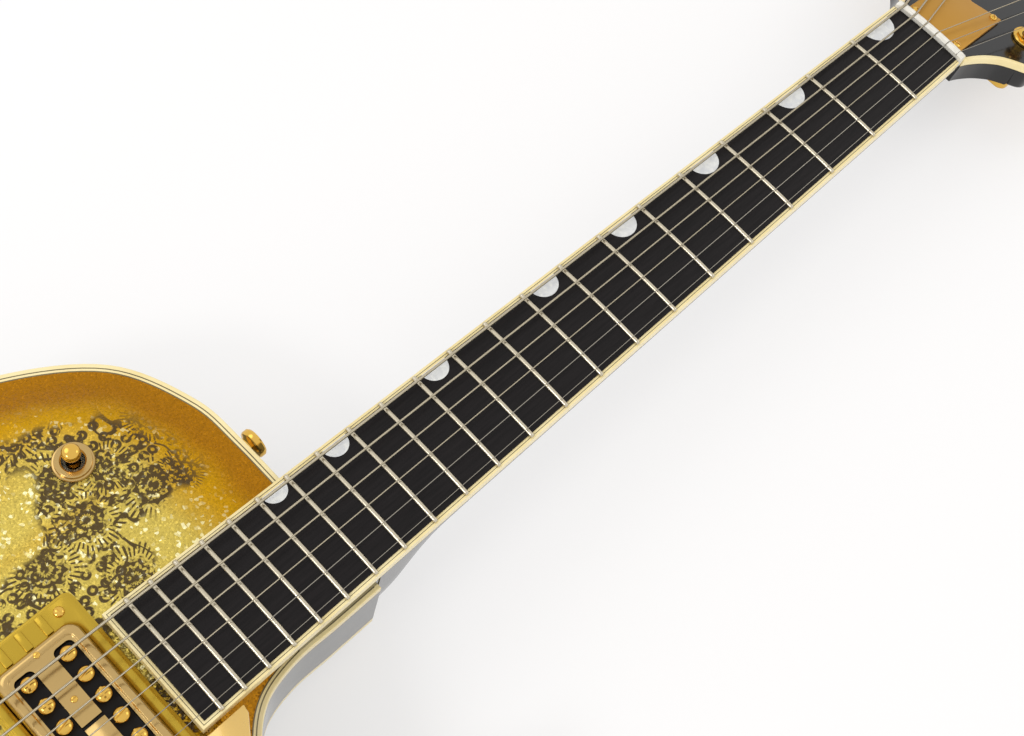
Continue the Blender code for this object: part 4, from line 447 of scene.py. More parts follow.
def makeGoldSparkle():
    made, tree, shader, place = newFinish("goldFlakeLacquer", "#C79A2A", 0.3, 0.9, Coat_Weight=0.12,
                                          Coat_Roughness=0.03, Specular_IOR_Level=0.2)
    edge = addNode(tree, 'Attribute', out='Fac', attribute_name="edgeDistance")
    cloud = addNode(tree, 'TexNoise', {'Vector': place, 'Scale': 26.0, 'Detail': 3.0})
    cloud = addNode(tree, 'MapRange', {0: cloud, 1: 0.3, 2: 0.7, 3: -0.004, 4: 0.004})
    depth = addNode(tree, 'Math', {0: edge, 1: cloud}, operation='ADD')
    yellow, pale = [addNode(tree, 'MapRange', {0: depth, 1: low, 2: high}, interpolation_type='SMOOTHSTEP')
                    for low, high in (sparkle["yellowBand"], sparkle["paleBand"])]
    burst = addNode(tree, 'Mix', {0: yellow, 6: sparkle["amber"], 7: sparkle["yellowGold"]}, 2,
                    data_type='RGBA')
    burst = addNode(tree, 'Mix', {0: pale, 6: burst, 7: sparkle["paleGold"]}, 2, data_type='RGBA')

    # flakes: each has its own shade, and one in twelve of the coarse ones gets a near-white colour, a painted
    # glint, with none near the edge
    fine = addNode(tree, 'TexVoronoi', {'Vector': place, 'Scale': 1 / sparkle["fineFlake"]}, 'Color')
    coarse = addNode(tree, 'TexVoronoi', {'Vector': place, 'Scale': 1 / sparkle["coarseFlake"]}, 'Color')
    fineShade = addNode(tree, 'SeparateColor', {0: fine})
    coarseShade = addNode(tree, 'SeparateColor', {0: coarse}, 1)
    shade = addNode(tree, 'MapRange', {0: fineShade, 3: 0.74, 4: 1.1})
    lit = addNode(tree, 'Mix', {0: 1.0, 6: burst, 7: shade}, 2, data_type='RGBA', blend_type='MULTIPLY')
    paintedGlint = addNode(tree, 'MapRange', {0: coarseShade, 1: 0.88, 2: 0.97})
    paintedGlintShare = addNode(tree, 'MapRange', {0: depth, 1: 0.015, 2: 0.045, 3: 0.0, 4: 0.9})
    paintedGlint = addNode(tree, 'Math', {0: paintedGlint, 1: paintedGlintShare}, operation='MULTIPLY')
    lit = addNode(tree, 'Mix', {0: paintedGlint, 6: lit, 7: sparkle["paintedGlint"]}, 2, data_type='RGBA')

    # rosettes: every cell of the wide pattern has one, with petals round its own middle
    wide = {'Vector': place, 'Scale': 1 / sparkle["rosetteSpacing"], 'Randomness': 0.7}
    middle = addNode(tree, 'TexVoronoi', wide, 'Position', voronoi_dimensions='2D')
    own = addNode(tree, 'TexVoronoi', wide, 'Color', voronoi_dimensions='2D')
    local = addNode(tree, 'VectorMath', {0: place, 1: middle}, operation='SUBTRACT')
    x = addNode(tree, 'SeparateXYZ', {0: local})
    y = addNode(tree, 'SeparateXYZ', {0: local}, 1)
    flat = addNode(tree, 'VectorMath', {0: local, 1: (1, 1, 0)}, operation='MULTIPLY')
    radius = addNode(tree, 'VectorMath', {0: flat}, 'Value', operation='LENGTH')
    turn = addNode(tree, 'Math', {0: y, 1: x}, operation='ARCTAN2')
    size = addNode(tree, 'SeparateColor', {0: own})
    widest = sparkle["rosetteRadius"]
    reach = addNode(tree, 'MapRange', {0: size, 3: widest * 0.6, 4: widest})
    petals = addNode(tree, 'Math', {0: turn, 1: sparkle["petals"]}, operation='MULTIPLY')
    wave = addNode(tree, 'Math', {0: petals}, operation='COSINE')
    wave = addNode(tree, 'MapRange', {0: wave, 1: -1.0, 3: 0.84})
    reach = addNode(tree, 'Math', {0: reach, 1: wave}, operation='MULTIPLY')
    share = addNode(tree, 'Math', {0: radius, 1: reach}, operation='DIVIDE')
    inside = addNode(tree, 'MapRange', {0: share, 1: 1.03, 2: 0.97})
    bands = addNode(tree, 'Math', {0: share, 1: 19.0}, operation='MULTIPLY')
    bands = addNode(tree, 'Math', {0: bands}, operation='SINE')
    spokes = addNode(tree, 'Math', {0: petals, 1: 2.0}, operation='MULTIPLY')
    spokes = addNode(tree, 'Math', {0: spokes}, operation='COSINE')
    lace = addNode(tree, 'Math', {0: spokes, 1: 0.55, 2: bands}, operation='MULTIPLY_ADD')
    lace = addNode(tree, 'MapRange', {0: lace, 1: -0.6, 2: -0.2, 3: 0.2, 4: 1.0})
    flower = addNode(tree, 'Math', {0: inside, 1: lace}, operation='MULTIPLY')

    # a fan of fine lines round each rosette, with beads and vines between them
    begun = addNode(tree, 'MapRange', {0: share, 1: 1.1, 2: 1.14})
    ended = addNode(tree, 'MapRange', {0: share, 1: 1.7, 2: 1.6})
    lines = addNode(tree, 'Math', {0: turn, 1: 40.0}, operation='MULTIPLY')
    lines = addNode(tree, 'Math', {0: lines}, operation='COSINE')
    lines = addNode(tree, 'MapRange', {0: lines, 1: 0.0, 2: 0.4})
    fan = addNode(tree, 'Math', {0: begun, 1: ended}, operation='MULTIPLY')
    fan = addNode(tree, 'Math', {0: fan, 1: lines}, operation='MULTIPLY')
    narrow = {'Vector': place, 'Scale': 1 / sparkle["beadSpacing"], 'Randomness': 0.5}
    beads = addNode(tree, 'TexVoronoi', narrow, 'Distance', voronoi_dimensions='2D')
    bead = addNode(tree, 'MapRange', {0: beads, 1: 0.4, 2: 0.34})
    hollow = addNode(tree, 'MapRange', {0: beads, 1: 0.1, 2: 0.16})
    bead = addNode(tree, 'Math', {0: bead, 1: hollow}, operation='MULTIPLY')
    vine = addNode(tree, 'TexNoise', {'Vector': place, 'Scale': sparkle["vineScale"], 'Detail': 1.5,
                                      'Distortion': 0.8})
    vine = addNode(tree, 'Math', {0: vine, 1: 0.5}, operation='SUBTRACT')
    vine = addNode(tree, 'Math', {0: vine}, operation='ABSOLUTE')
    vine = addNode(tree, 'MapRange', {0: vine, 1: 0.034, 2: 0.022})
    patch = addNode(tree, 'TexNoise', {'Vector': place, 'Scale': 30.0, 'Detail': 2.0})
    patch = addNode(tree, 'MapRange', {0: patch, 1: 0.46, 2: 0.5})
    bead = addNode(tree, 'Math', {0: bead, 1: patch}, operation='MULTIPLY')
    ink = flower
    for mark in (fan, bead, vine):
        ink = addNode(tree, 'Math', {0: ink, 1: mark}, operation='MAXIMUM')
    worn = addNode(tree, 'TexNoise', {'Vector': place, 'Scale': 420.0, 'Detail': 2.0})
    worn = addNode(tree, 'MapRange', {0: worn, 1: 0.34, 2: 0.44})
    low, high = sparkle["printBand"]
    printed = addNode(tree, 'MapRange', {0: depth, 1: low, 2: high, 4: 0.94})
    bare = addNode(tree, 'TexNoise', {'Vector': place, 'Scale': sparkle["bareScale"], 'Detail': 2.0})
    bare = addNode(tree, 'MapRange', {0: bare, 1: 0.45, 2: 0.49})
    for mask in (worn, printed, bare):
        ink = addNode(tree, 'Math', {0: ink, 1: mask}, operation='MULTIPLY')
    colour = addNode(tree, 'Mix', {0: ink, 6: lit, 7: sparkle["print"]}, 2, data_type='RGBA')
    metal = addNode(tree, 'MapRange', {0: ink, 3: 0.9, 4: 0.0})
    gloss = addNode(tree, 'MapRange', {0: fineShade, 3: 0.26, 4: 0.42})
    joinInputs(tree, shader, {'Base Color': colour, 'Metallic': metal, 'Roughness': gloss})

    # every flake leans its own way
    lean = addNode(tree, 'VectorMath', {0: fine, 1: (0.5, 0.5, 0.5)}, operation='SUBTRACT')
    lean = addNode(tree, 'VectorMath', {0: lean, 'Scale': 0.5}, operation='SCALE')
    normal = addNode(tree, 'NewGeometry', out='Normal')
    lean = addNode(tree, 'VectorMath', {0: normal, 1: lean}, operation='ADD')
    lean = addNode(tree, 'VectorMath', {0: lean}, operation='NORMALIZE')
    joinInputs(tree, shader, {'Normal': lean})
    return made


# Celluloid, scraped and buffed: warm and a little see-through, with slow cloudy yellowing
def makeCelluloid(name, pale, aged):
    made, tree, shader, place = newFinish(name, pale, 0.3, Coat_Weight=0.2, Coat_Roughness=0.08)
    cloud = addNode(tree, 'TexNoise', {'Vector': place, 'Scale': 60.0, 'Detail': 3.0})
    cloud = addNode(tree, 'MapRange', {0: cloud, 1: 0.35, 2: 0.7})
    colour = addNode(tree, 'Mix', {0: cloud, 6: pale, 7: aged}, 2, data_type='RGBA')
    scrape = addNode(tree, 'TexNoise', {'Vector': place, 'Scale': 900.0, 'Detail': 2.0})
    bump = addNode(tree, 'Bump', {'Height': scrape, 'Strength': 0.05, 'Distance': 0.0001})
    joinInputs(tree, shader, {'Base Color': colour, 'Normal': bump})
    return made


# Wood with its grain along X: long streaks across which the colour changes, and open pores
def makeWood(name, dark, pale, roughness, streak, shine=0.5):
    made, tree, shader, place = newFinish(name, dark, roughness, Specular_IOR_Level=shine)
    longWays = addNode(tree, 'Mapping', {'Vector': place, 'Scale': (0.04, 1.0, 1.0)})
    grain = addNode(tree, 'TexNoise', {'Vector': longWays, 'Scale': 1 / streak, 'Detail': 5.0,
                                       'Roughness': 0.65})
    pores = addNode(tree, 'TexNoise', {'Vector': longWays, 'Scale': 3.2 / streak, 'Detail': 2.0})
    streaks = addNode(tree, 'MapRange', {0: grain, 1: 0.3, 2: 0.72})
    colour = addNode(tree, 'Mix', {0: streaks, 6: dark, 7: pale}, 2, data_type='RGBA')
    gloss = addNode(tree, 'MapRange', {0: streaks, 3: roughness + 0.08, 4: roughness - 0.06})
    pores = addNode(tree, 'MapRange', {0: pores, 1: 0.32, 2: 0.5})
    bump = addNode(tree, 'Bump', {'Height': pores, 'Strength': 0.25, 'Distance': 0.00008})
    joinInputs(tree, shader, {'Base Color': colour, 'Roughness': gloss, 'Normal': bump})
    return made


# Plated or polished metal: faint hand marks in the gloss, and fine lines where it is brushed
def makeMetal(name, colour, roughness, marks=0.05, brushed=None, metallic=1.0, **sockets):
    made, tree, shader, place = newFinish(name, colour, roughness, metallic, **sockets)
    cloud = addNode(tree, 'TexNoise', {'Vector': place, 'Scale': 75.0, 'Detail': 5.0})
    gloss = addNode(tree, 'MapRange', {0: cloud, 1: 0.35, 2: 0.7, 3: roughness - marks / 2,
                                       4: roughness + marks})
    relief = {'Vector': place, 'Scale': 260.0, 'Detail': 1.0}
    if brushed:
        lines = addNode(tree, 'Mapping', {'Vector': place, 'Scale': brushed})
        relief = {'Vector': lines, 'Scale': 1.0, 'Detail': 2.0}
    relief = addNode(tree, 'TexNoise', relief)
    bump = addNode(tree, 'Bump', {'Height': relief, 'Strength': 0.12 if brushed else 0.03,
                                  'Distance': 0.00005 if brushed else 0.0002})
    joinInputs(tree, shader, {'Roughness': gloss, 'Normal': bump})
    return made


# Pearloid: pale celluloid with faint silvery clouds about 4 mm wide
def makePearl():
    made, tree, shader, place = newFinish("pearloid", "#DCDCDA", 0.24, Coat_Weight=0.3,
                                          Coat_Roughness=0.05)
    curl = addNode(tree, 'TexNoise', {'Vector': place, 'Scale': 230.0, 'Detail': 3.0, 'Distortion': 1.6})
    curl = addNode(tree, 'MapRange', {0: curl, 1: 0.35, 2: 0.65})
    colour = addNode(tree, 'Mix', {0: curl, 6: "#D2D3D4", 7: "#E6E6E2"}, 2, data_type='RGBA')
    gloss = addNode(tree, 'MapRange', {0: curl, 3: 0.32, 4: 0.18})
    joinInputs(tree, shader, {'Base Color': colour, 'Roughness': gloss})
    return made


# Bone, cut and polished: off-white with faint pores along Y
def makeBone():
    made, tree, shader, place = newFinish("polishedBone", "#EAE5D8", 0.3, Coat_Weight=0.2, Coat_Roughness=0.1)
    stretched = addNode(tree, 'Mapping', {'Vector': place, 'Scale': (1.0, 0.15, 1.0)})
    pores = addNode(tree, 'TexNoise', {'Vector': stretched, 'Scale': 1600.0, 'Detail': 3.0})
    shade = addNode(tree, 'MapRange', {0: pores, 1: 0.35, 2: 0.7})
    colour = addNode(tree, 'Mix', {0: shade, 6: "#DFD9CA", 7: "#F3F0E8"}, 2, data_type='RGBA')
    bump = addNode(tree, 'Bump', {'Height': pores, 'Strength': 0.05, 'Distance': 0.00005})
    joinInputs(tree, shader, {'Base Color': colour, 'Normal': bump})
    return made


# Nickel wire wound on a steel core: the winding is a ridge every 0.45 mm along the string
def makeWoundString():
    pitch = 0.00045
    made, tree, shader = newFinish("woundNickel", "#C8BCA2", 0.34, 1.0)[:3]
    along = addNode(tree, 'Attribute', out='Fac', attribute_name="alongString")
    ridge = addNode(tree, 'Math', {0: along, 1: 2 * math.pi / pitch}, operation='MULTIPLY')
    ridge = addNode(tree, 'Math', {0: ridge}, operation='SINE')
    # the grooves between the windings are painted darker, a painted shade, and the crests paler
    shade = addNode(tree, 'MapRange', {0: ridge, 1: -1.0})
    colour = addNode(tree, 'Mix', {0: shade, 6: "#857A64", 7: "#D8CDB4"}, 2, data_type='RGBA')
    bump = addNode(tree, 'Bump', {'Height': ridge, 'Strength': 0.6, 'Distance': 0.00006})
    joinInputs(tree, shader, {'Base Color': colour, 'Normal': bump})
    return made


finish = {
    "black": makeBlackLacquer("blackPolyesterLacquer"),
    "blackSides": makeBlackLacquer("thickBlackPolyesterLacquer", 2.7),   # more coats, so it mirrors more
    "sparkle": makeGoldSparkle(),
    "cream": makeCelluloid("creamCelluloid", "#F6E4AC", "#EDD797"),
    "line": makeCelluloid("oliveCelluloid", "#746843", "#5C5134"),
    "ebony": makeWood("oiledEbony", "#0E0B0B", "#1C1818", 0.4, 0.0011, 0.16),
    "maple": makeWood("bareMaple", "#B98E58", "#D9B783", 0.55, 0.003),
    "spruce": makeWood("bareSpruce", "#C9A66B", "#E3C690", 0.6, 0.0016),
    # polished brass with a bright gold plating, handled on its edges
    "gold": makeMetal("goldPlatedBrass", "#DDB154", 0.13),
    # the same plating on a plate brushed along X
    "satin": makeMetal("satinGoldPlate", "#BD8D3F", 0.38, 0.05, (60.0, 2600.0, 60.0)),
    # moulded plastic with a thin yellow metal film
    "bezel": makeMetal("goldMetalledPlastic", "#BC9C34", 0.27, 0.06, None, 0.85),
    # a thin plating on nickel, paler with wear
    "cover": makeMetal("paleGoldPlate", "#BFA067", 0.2, 0.06),
    # fret wire, crowned with a file and polished along Y
    "fret": makeMetal("nickelSilver", "#C6BCA6", 0.25, 0.015, (900.0, 60.0, 60.0)),
    "steel": makeMetal("nickelledSteel", "#B9B6AE", 0.26),
    "wound": makeWoundString(),
    # bare wire, slightly tarnished
    "plain": makeMetal("drawnSteel", "#9C968A", 0.2),
    # clear sheet with gold paint behind it
    "guard": makeMetal("goldBackedAcrylic", "#D8B25E", 0.24, 0.05, None, 0.55, Coat_Weight=1.0,
                       Coat_Roughness=0.02),
    # a dull dark moulding
    "bobbin": makeMetal("mouldedBlackPlastic", "#120E0C", 0.5, 0.1, None, 0.0, Specular_IOR_Level=0.2),
    "bone": makeBone(),
    "pearl": makePearl(),
}
print("finishes made")

addCamera()
for kind in ("key", "fill", "rim"):
    addLamp(kind + "Lamp", light[kind + "Power"], light[kind + "Size"], light[kind + "Place"])
addRoom()
addFloor()
bpy.context.scene.view_settings.view_transform = 'Standard'
print("camera, light and floor set")


# Body

body = {
    "backEdge": 0.011, "topEdge": 0.059, "topArch": 0.008, "backArch": 0.011, "plate": 0.0045,
    "topLines": (0.0018, 0.0023, 0.0032, 0.0037),   # cream, dark, cream, dark, from the outside
    "backBinding": 0.0024, "wall": 0.003, "lining": 0.009, "liningHeight": 0.015,
    "softCorner": 0.0004, "glueGap": 0.00003,
    "notch": (0.0096, 0.0183, 0.0227),   # of the neck's joint: depth, half width, floor
    "jackHole": 0.00565, "jackLevel": 0.035, "strapHole": 0.00185,
    "strapHoles": (((0.0, 0.056, 0.0355), (1, 0, 0)), ((-0.514, 0, 0.035), (-1, 0, 0))),
    "steps": 8, "archSteps": 12,
    # rows of (edge point, point where the arch ends), each (distance behind the front edge, offset)
    "front": (
        ((0.0, -0.0285), (0.050, -0.013)), ((0.0, 0.0), (0.045, 0.0)), ((0.0, 0.0520), (0.045, 0.037)),
        ((0.0031, 0.0800), (0.039, 0.065)), ((0.0192, 0.1122), (0.046, 0.092)),
        ((0.0540, 0.1357), (0.072, 0.108)), ((0.0930, 0.1470), (0.102, 0.112)),
        ((0.1400, 0.1405), (0.140, 0.104)),
    ),
    "lower": (
        ((0.1800, 0.1250), (0.178, 0.088)), ((0.2100, 0.1195), (0.208, 0.080)),
        ((0.2450, 0.1255), (0.242, 0.084)), ((0.2800, 0.1475), (0.274, 0.099)),
        ((0.3180, 0.1810), (0.308, 0.122)), ((0.3660, 0.2030), (0.358, 0.136)),
        ((0.4150, 0.1890), (0.400, 0.126)), ((0.4600, 0.1520), (0.430, 0.098)),
        ((0.4930, 0.1020), (0.444, 0.064)), ((0.5100, 0.0520), (0.449, 0.032)),
    ),
    "tail": ((0.5140, 0.0), (0.450, 0.0)),
    "horn": (
        ((0.1400, -0.1395), (0.152, -0.092)), ((0.0960, -0.1420), (0.140, -0.096)),
        ((0.0580, -0.1335), (0.128, -0.093)), ((0.0375, -0.1200), (0.122, -0.089)),
        ((0.0315, -0.1075), (0.118, -0.085)), ((0.0410, -0.0980), (0.116, -0.081)),
        ((0.0580, -0.0935), (0.114, -0.077)),
    ),
    "cutCentre": (0.0435, -0.0640), "cutRadius": 0.0355, "cutTurns": (120, 90, 60, 30, 0),
    "cutArch": ((0.112, -0.072), (0.110, -0.062), (0.104, -0.048), (0.092, -0.033), (0.080, -0.021)),
    "cutWall": ((0.022, -0.0285), (0.065, -0.016)),
    # f-hole's slit: distance behind the front edge, offset, half width; then its round ends
    "fHole": (
        (0.2075, 0.0850, 0.0022), (0.2150, 0.0830, 0.0030), (0.2350, 0.0800, 0.0040),
        (0.2600, 0.0840, 0.0052), (0.2850, 0.0930, 0.0040), (0.3050, 0.1040, 0.0030),
        (0.3130, 0.1060, 0.0022)),
    "fHoleEnds": ((0.2055, 0.0825, 0.0060), (0.3160, 0.1085, 0.0062)),
    "toneBar": (0.052, 0.007, 0.010, 0.098, 0.425),   # offset, width, height, start, end
}
topFlat = body["topEdge"] + body["topArch"]
insideTop = topFlat - body["plate"]
throughLow, throughHigh = insideTop - 0.02, topFlat + 0.01     # ends of what cuts through the top


def bodyOutlines(steps):
    rows = [*body["front"], *body["lower"], body["tail"]]
    rows += [((x, -y), (u, -v)) for (x, y), (u, v) in reversed(body["lower"])]
    rows += body["horn"]
    for angle, flat in zip(body["cutTurns"], body["cutArch"]):
        turn = math.radians(angle)
        rows.append(((body["cutCentre"][0] + body["cutRadius"] * math.sin(turn),
                      body["cutCentre"][1] + body["cutRadius"] * math.cos(turn)), flat))
    rows += [body["cutWall"], body["front"][0]]
    return [smoothCurve([Vector((-row[side][0], row[side][1])) for row in rows], steps)[:-1]
            for side in (0, 1)]


edgeLine, flatLine = bodyOutlines(body["steps"])


# The points beside the sharp corner at the neck are spread out again, so that they don't fold over
def insetEdge(distance):
    found = inset(edgeLine, distance)
    for side in (1, -1):
        for i in (1, 2, 3):
            found[side * i] = found[0].lerp(found[side * 4], i / 4)
    return found


def atLevel(outline, height):
    return [Vector((p.x, p.y, height)) for p in outline]


def archRise(share):
    return 0.5 - 0.5 * math.cos(math.pi * share)


def plateRings(edge, outer, rise, thickness):
    shares = [i / body["archSteps"] for i in range(body["archSteps"] + 1)]
    across = [[a.lerp(b, share) for a, b in zip(edge, flatLine)] for share in shares]
    rings = [atLevel(ring, outer - thickness + rise * archRise(share))
             for ring, share in zip(reversed(across), reversed(shares))]
    return rings + [atLevel(ring, outer + rise * archRise(share))
                    for ring, share in zip(across, shares)]


def holeCutter(name, place, radius, further=0.0):
    profile = ((radius, throughLow - further), (radius, throughHigh + further))
    return moved(turned(name, profile), at(*place))


# An f-hole is a slit that widens in the middle, with a round hole at each end
def fHoleCutters(side):
    points = smoothCurve([Vector((-x, side * y, w)) for x, y, w in body["fHole"]], 5)
    left, right = [], []
    for i, point in enumerate(points):
        along = points[min(i + 1, len(points) - 1)] - points[max(i - 1, 0)]
        across = Vector((-along.y, along.x)).normalized() * point.z
        left.append((point.x + across.x, point.y + across.y))
        right.append((point.x - across.x, point.y - across.y))
    cutters = [plate("fHoleSlit", left + right[::-1], throughLow, throughHigh)]
    return cutters + [holeCutter("fHoleEnd", (-x, side * y), radius, 0.001)
                      for x, y, radius in body["fHoleEnds"]]


# Distance of the point from the line a to b, and how far along the line its nearest point is
def fromLine(a, b, x, y):
    span = b - a
    share = min(max(((x - a.x) * span.x + (y - a.y) * span.y) / span.length_squared, 0), 1)
    return math.hypot(a.x + span.x * share - x, a.y + span.y * share - y), share


def fromEdge(x, y):
    return min(fromLine(edgeLine[i - 1], b, x, y)[0] for i, b in enumerate(edgeLine))


# Height of the top's outer face at a point, from its nearest row
def topLevel(x, y):
    rows = zip(insetEdge(body["topLines"][-1]), flatLine)
    share = min(fromLine(a, b, x, y) for a, b in rows)[1]
    return body["topEdge"] + body["topArch"] * archRise(share)


knobPlaces = {
    "master_volume_knob": (-0.0640, -0.1130), "neck_volume_knob": (-0.350, -0.112),
    "bridge_volume_knob": (-0.388, -0.120), "tone_knob": (-0.424, -0.104),
}
controls = {"toggle": (-0.0564, 0.0847), "potHole": 0.0046, "toggleHole": 0.0063}
pickup = {
    "neckAt": 0.5016, "bridgeAt": 0.6120, "width": 0.0355, "length": 0.0695,
    "belowStrings": 0.0052, "neckBezelHeight": 0.0042, "bridgeBezelHeight": 0.0095,
    "bezelWidth": 0.0472, "bezelLength": 0.0920, "poleRows": 0.0169, "polePitch": 0.0098,
    "pole": (0.0031, 0.0023, 0.0042), "poleSunk": 0.0004, "rivet": (0.0013, 0.0006), "sunk": 0.0007,
    "wall": 0.0014, "slot": (0.0041, 0.0290, 0.0022),
    # distance in from the side, level, corner radius: rounded outside, then the sunk middle
    "coverShape": (
        (0.0, -0.0200, 0.0052), (0.0, -0.0030, 0.0052), (0.0003, -0.0015, 0.0049),
        (0.0010, -0.0005, 0.0042), (0.0021, 0.0, 0.0031), (0.0036, 0.0, 0.0030),
        (0.0043, -0.0007, 0.0024)),
    # the same for the bezel, with the level as a share of its rise
    "bezelShape": (
        (0.0, 0.0, 0.0035), (0.0, 0.5, 0.0035), (0.0004, 0.55, 0.0032), (0.0011, 0.55, 0.0028),
        (0.0014, 0.6, 0.0026), (0.0015, 0.94, 0.0025), (0.0019, 1.0, 0.0023)),
    "rib": (0.0016, 0.0020), "ribPitch": 0.0088, "bezelScrew": (0.0021, 0.0013),
    "bezelScrewAt": (0.0158, 0.0405), "holeGap": 0.0012, "holeCorner": 0.0045,
    "rivetsAt": (0.0105, 0.0033), "neckSeed": 7, "bridgeSeed": 8,
}


def alongBody(distance):
    return (neckPlace @ Vector((-distance, 0, 0))).x - bodyPlace.translation.x


def makeTop():
    edge = insetEdge(body["topLines"][-1] + body["glueGap"])
    top = ringStack("carvedTop", plateRings(edge, body["topEdge"], body["topArch"], body["plate"]))
    offset, width, height, start, end = body["toneBar"]
    for side in (1, -1):
        near = side * offset - width / 2
        bar = block("toneBar", (-end, near, insideTop - height),
                    (-start, near + width, insideTop + 0.0015))
        carve(top, soften(bar, 0.0012), how='UNION')
    cutters = fHoleCutters(1) + fHoleCutters(-1)
    cutters += [holeCutter("potCutter", place, controls["potHole"]) for place in knobPlaces.values()]
    cutters.append(holeCutter("toggleCutter", controls["toggle"], controls["toggleHole"]))
    for distance in (pickup["neckAt"], pickup["bridgeAt"]):
        outline = roundedBox(pickup["width"] / 2 + pickup["holeGap"],
                             pickup["length"] / 2 + pickup["holeGap"], pickup["holeCorner"])
        outline = [(alongBody(distance) + x, y) for x, y in outline]
        cutters.append(plate("pickupCutter", outline, throughLow, throughHigh))
    carve(top, *cutters)
    finished(top, Matrix.Identity(4), "guitar", [finish["sparkle"], finish["spruce"]],
             ["top"])
    shade = top.data.attributes.new("edgeDistance", 'FLOAT', 'POINT')
    shade.data.foreach_set("value", [fromEdge(v.co.x, v.co.y) for v in top.data.vertices])
    # bare wood on every face that doesn't look up
    for face in top.data.polygons:
        if face.normal.z < 0.2:
            face.material_index = 1
    top.data.transform(bodyPlace)


def makeBindings():
    lines = (0.0, *body["topLines"])
    high, low = body["topEdge"], body["topEdge"] - body["plate"]
    outlines = [insetEdge(d) if d else edgeLine for d in lines]
    # the outer corner is rounded a little
    soft = body["softCorner"]
    softLine = insetEdge(soft)
    rings = [atLevel(edgeLine, low), atLevel(edgeLine, high - soft), atLevel(softLine, high)]
    rings += [atLevel(o, high) for o in outlines[1:]] + [atLevel(outlines[-1], low)]
    binding = ringStack("topBinding", rings, joined=True)
    finished(binding, Matrix.Identity(4), "guitar", [finish["cream"], finish["line"]],
             ["top_binding"])
    for face in binding.data.polygons:
        middle = fromEdge(face.center.x, face.center.y)
        dark = middle > lines[3] or (face.normal.z > 0.9 and lines[1] < middle < lines[2])
        face.material_index = 1 if dark else 0
    binding.data.transform(bodyPlace)
    low, high = body["backEdge"], body["backEdge"] + body["plate"]
    inner = insetEdge(body["backBinding"])
    rings = [atLevel(edgeLine, high), atLevel(edgeLine, low + soft), atLevel(softLine, low),
             atLevel(inner, low), atLevel(inner, high)]
    finished(ringStack("backBinding", rings, joined=True), bodyPlace, "guitar", [finish["cream"]],
             ["back_binding"])


def makeSidesAndBack():
    low = body["backEdge"] + body["plate"] + gap
    high = body["topEdge"] - body["plate"] - gap
    coarse = bodyOutlines(2)[0]
    lining = inset(coarse, body["lining"])
    lining = smoothCurve(lining + [lining[0]], body["steps"] // 2)[:-1]
    wall = insetEdge(body["wall"])
    rings = [atLevel(edgeLine, low), atLevel(edgeLine, high), atLevel(lining, high),
             atLevel(wall, high - body["liningHeight"]), atLevel(wall, low + body["liningHeight"]),
             atLevel(lining, low)]
    sides = ringStack("bentSides", rings, joined=True)
    deep, half, floor = body["notch"]
    notch = block("neckNotch", (-deep, -half, floor), (0.002, half, high + 0.0006))
    jackAt = min(coarse, key=lambda p: p.y)
    hole = moved(turned("jackCutter", ((body["jackHole"], -0.012), (body["jackHole"], 0.004))),
                 aimed((jackAt.x, jackAt.y, body["jackLevel"]), (0, -1, 0)))
    profile = ((body["strapHole"], -0.022), (body["strapHole"], 0.005))
    screws = [moved(turned("screwCutter", profile), aimed(*spot)) for spot in body["strapHoles"]]
    carve(sides, notch, hole, *screws)
    finished(sides, Matrix.Identity(4), "guitar", [finish["blackSides"], finish["maple"]],
             ["rim_bass", "rim_treble"])
    # bare wood where a face isn't on the outline
    for face in sides.data.polygons:
        if fromEdge(face.center.x, face.center.y) > 0.0002:
            face.material_index = 1
    sides.data.transform(bodyPlace)
    edge = insetEdge(body["backBinding"] + body["glueGap"])
    back = ringStack("archedBack", plateRings(edge, body["backEdge"], -body["backArch"], -body["plate"]))
    finished(back, bodyPlace, "guitar", [finish["black"], finish["maple"]], ["back"])
    for face in back.data.polygons:
        if face.normal.z > 0.3:
            face.material_index = 1


makeTop()
print("top done")
makeBindings()
makeSidesAndBack()
print("sides, back and bindings done")


# Neck, headstock and fingerboard

neck = {
    "scale": 0.648, "nutWidth": 0.0429, "endWidth": 0.0562, "radius": 0.305, "overhang": 0.0095,
    "thickness": 0.0063, "binding": 0.0022, "bindingStep": 0.0004, "fretHeight": 0.0012,
    "fretInset": 0.00065, "toBody": 0.3885, "edgeBelowFrets": 0.0165,
    "wood": 0.0136, "shelf": 0.0048, "nut": 0.005, "nutRise": 0.0009,
    "inlayFrets": (1, 3, 5, 7, 9, 12, 15, 17), "inlayFirst": 0.0092, "inlayLast": 0.0056,
    "inlayDepth": 0.0006, "inlayFit": 0.00004,
    # distance in front of the body, share of the heel's depth, power of the section's curve
    "heel": ((0.0, 1.0, 0.46), (0.0075, 0.975, 0.46), (0.0135, 0.895, 0.48), (0.019, 0.72, 0.55),
             (0.0255, 0.50, 0.67), (0.034, 0.345, 0.80)),
    # distance from the nut, depth
    "back": ((0.3385, 0.0165), (0.318, 0.0162), (0.270, 0.0157), (0.200, 0.01505), (0.110, 0.0143),
             (0.050, 0.0138), (0.020, 0.0136), (-0.0048, 0.0139)),
    "backPower": 0.85,
    # distance past the nut's shelf, fall of the upper and the lower side
    "ramp": ((0.0, 0.0, 0.0), (0.005, 0.0009, 0.0006), (0.011, 0.0021, 0.0011),
             (0.020, 0.0037, 0.0021), (0.029, 0.0052, 0.0028)),
    "rampPower": 0.80, "rampNarrowing": 4,
    "tongueInset": 0.0004, "tongueArch": (0.0038, 0.0412), "cheek": 0.0017,
    "tenon": ((-0.030, -0.018, 0.023), (0.003, 0.018, 0.051)),
    "channelEnd": 0.012, "channelHalf": 0.0034, "channelDepth": 0.0095, "channelPastNut": 0.031,
}
boardLength = neck["scale"] * (1 - 2 ** (-22 / 12)) + neck["overhang"]
boardBottom = -neck["fretHeight"] - neck["thickness"]
neckTop = boardBottom - gap


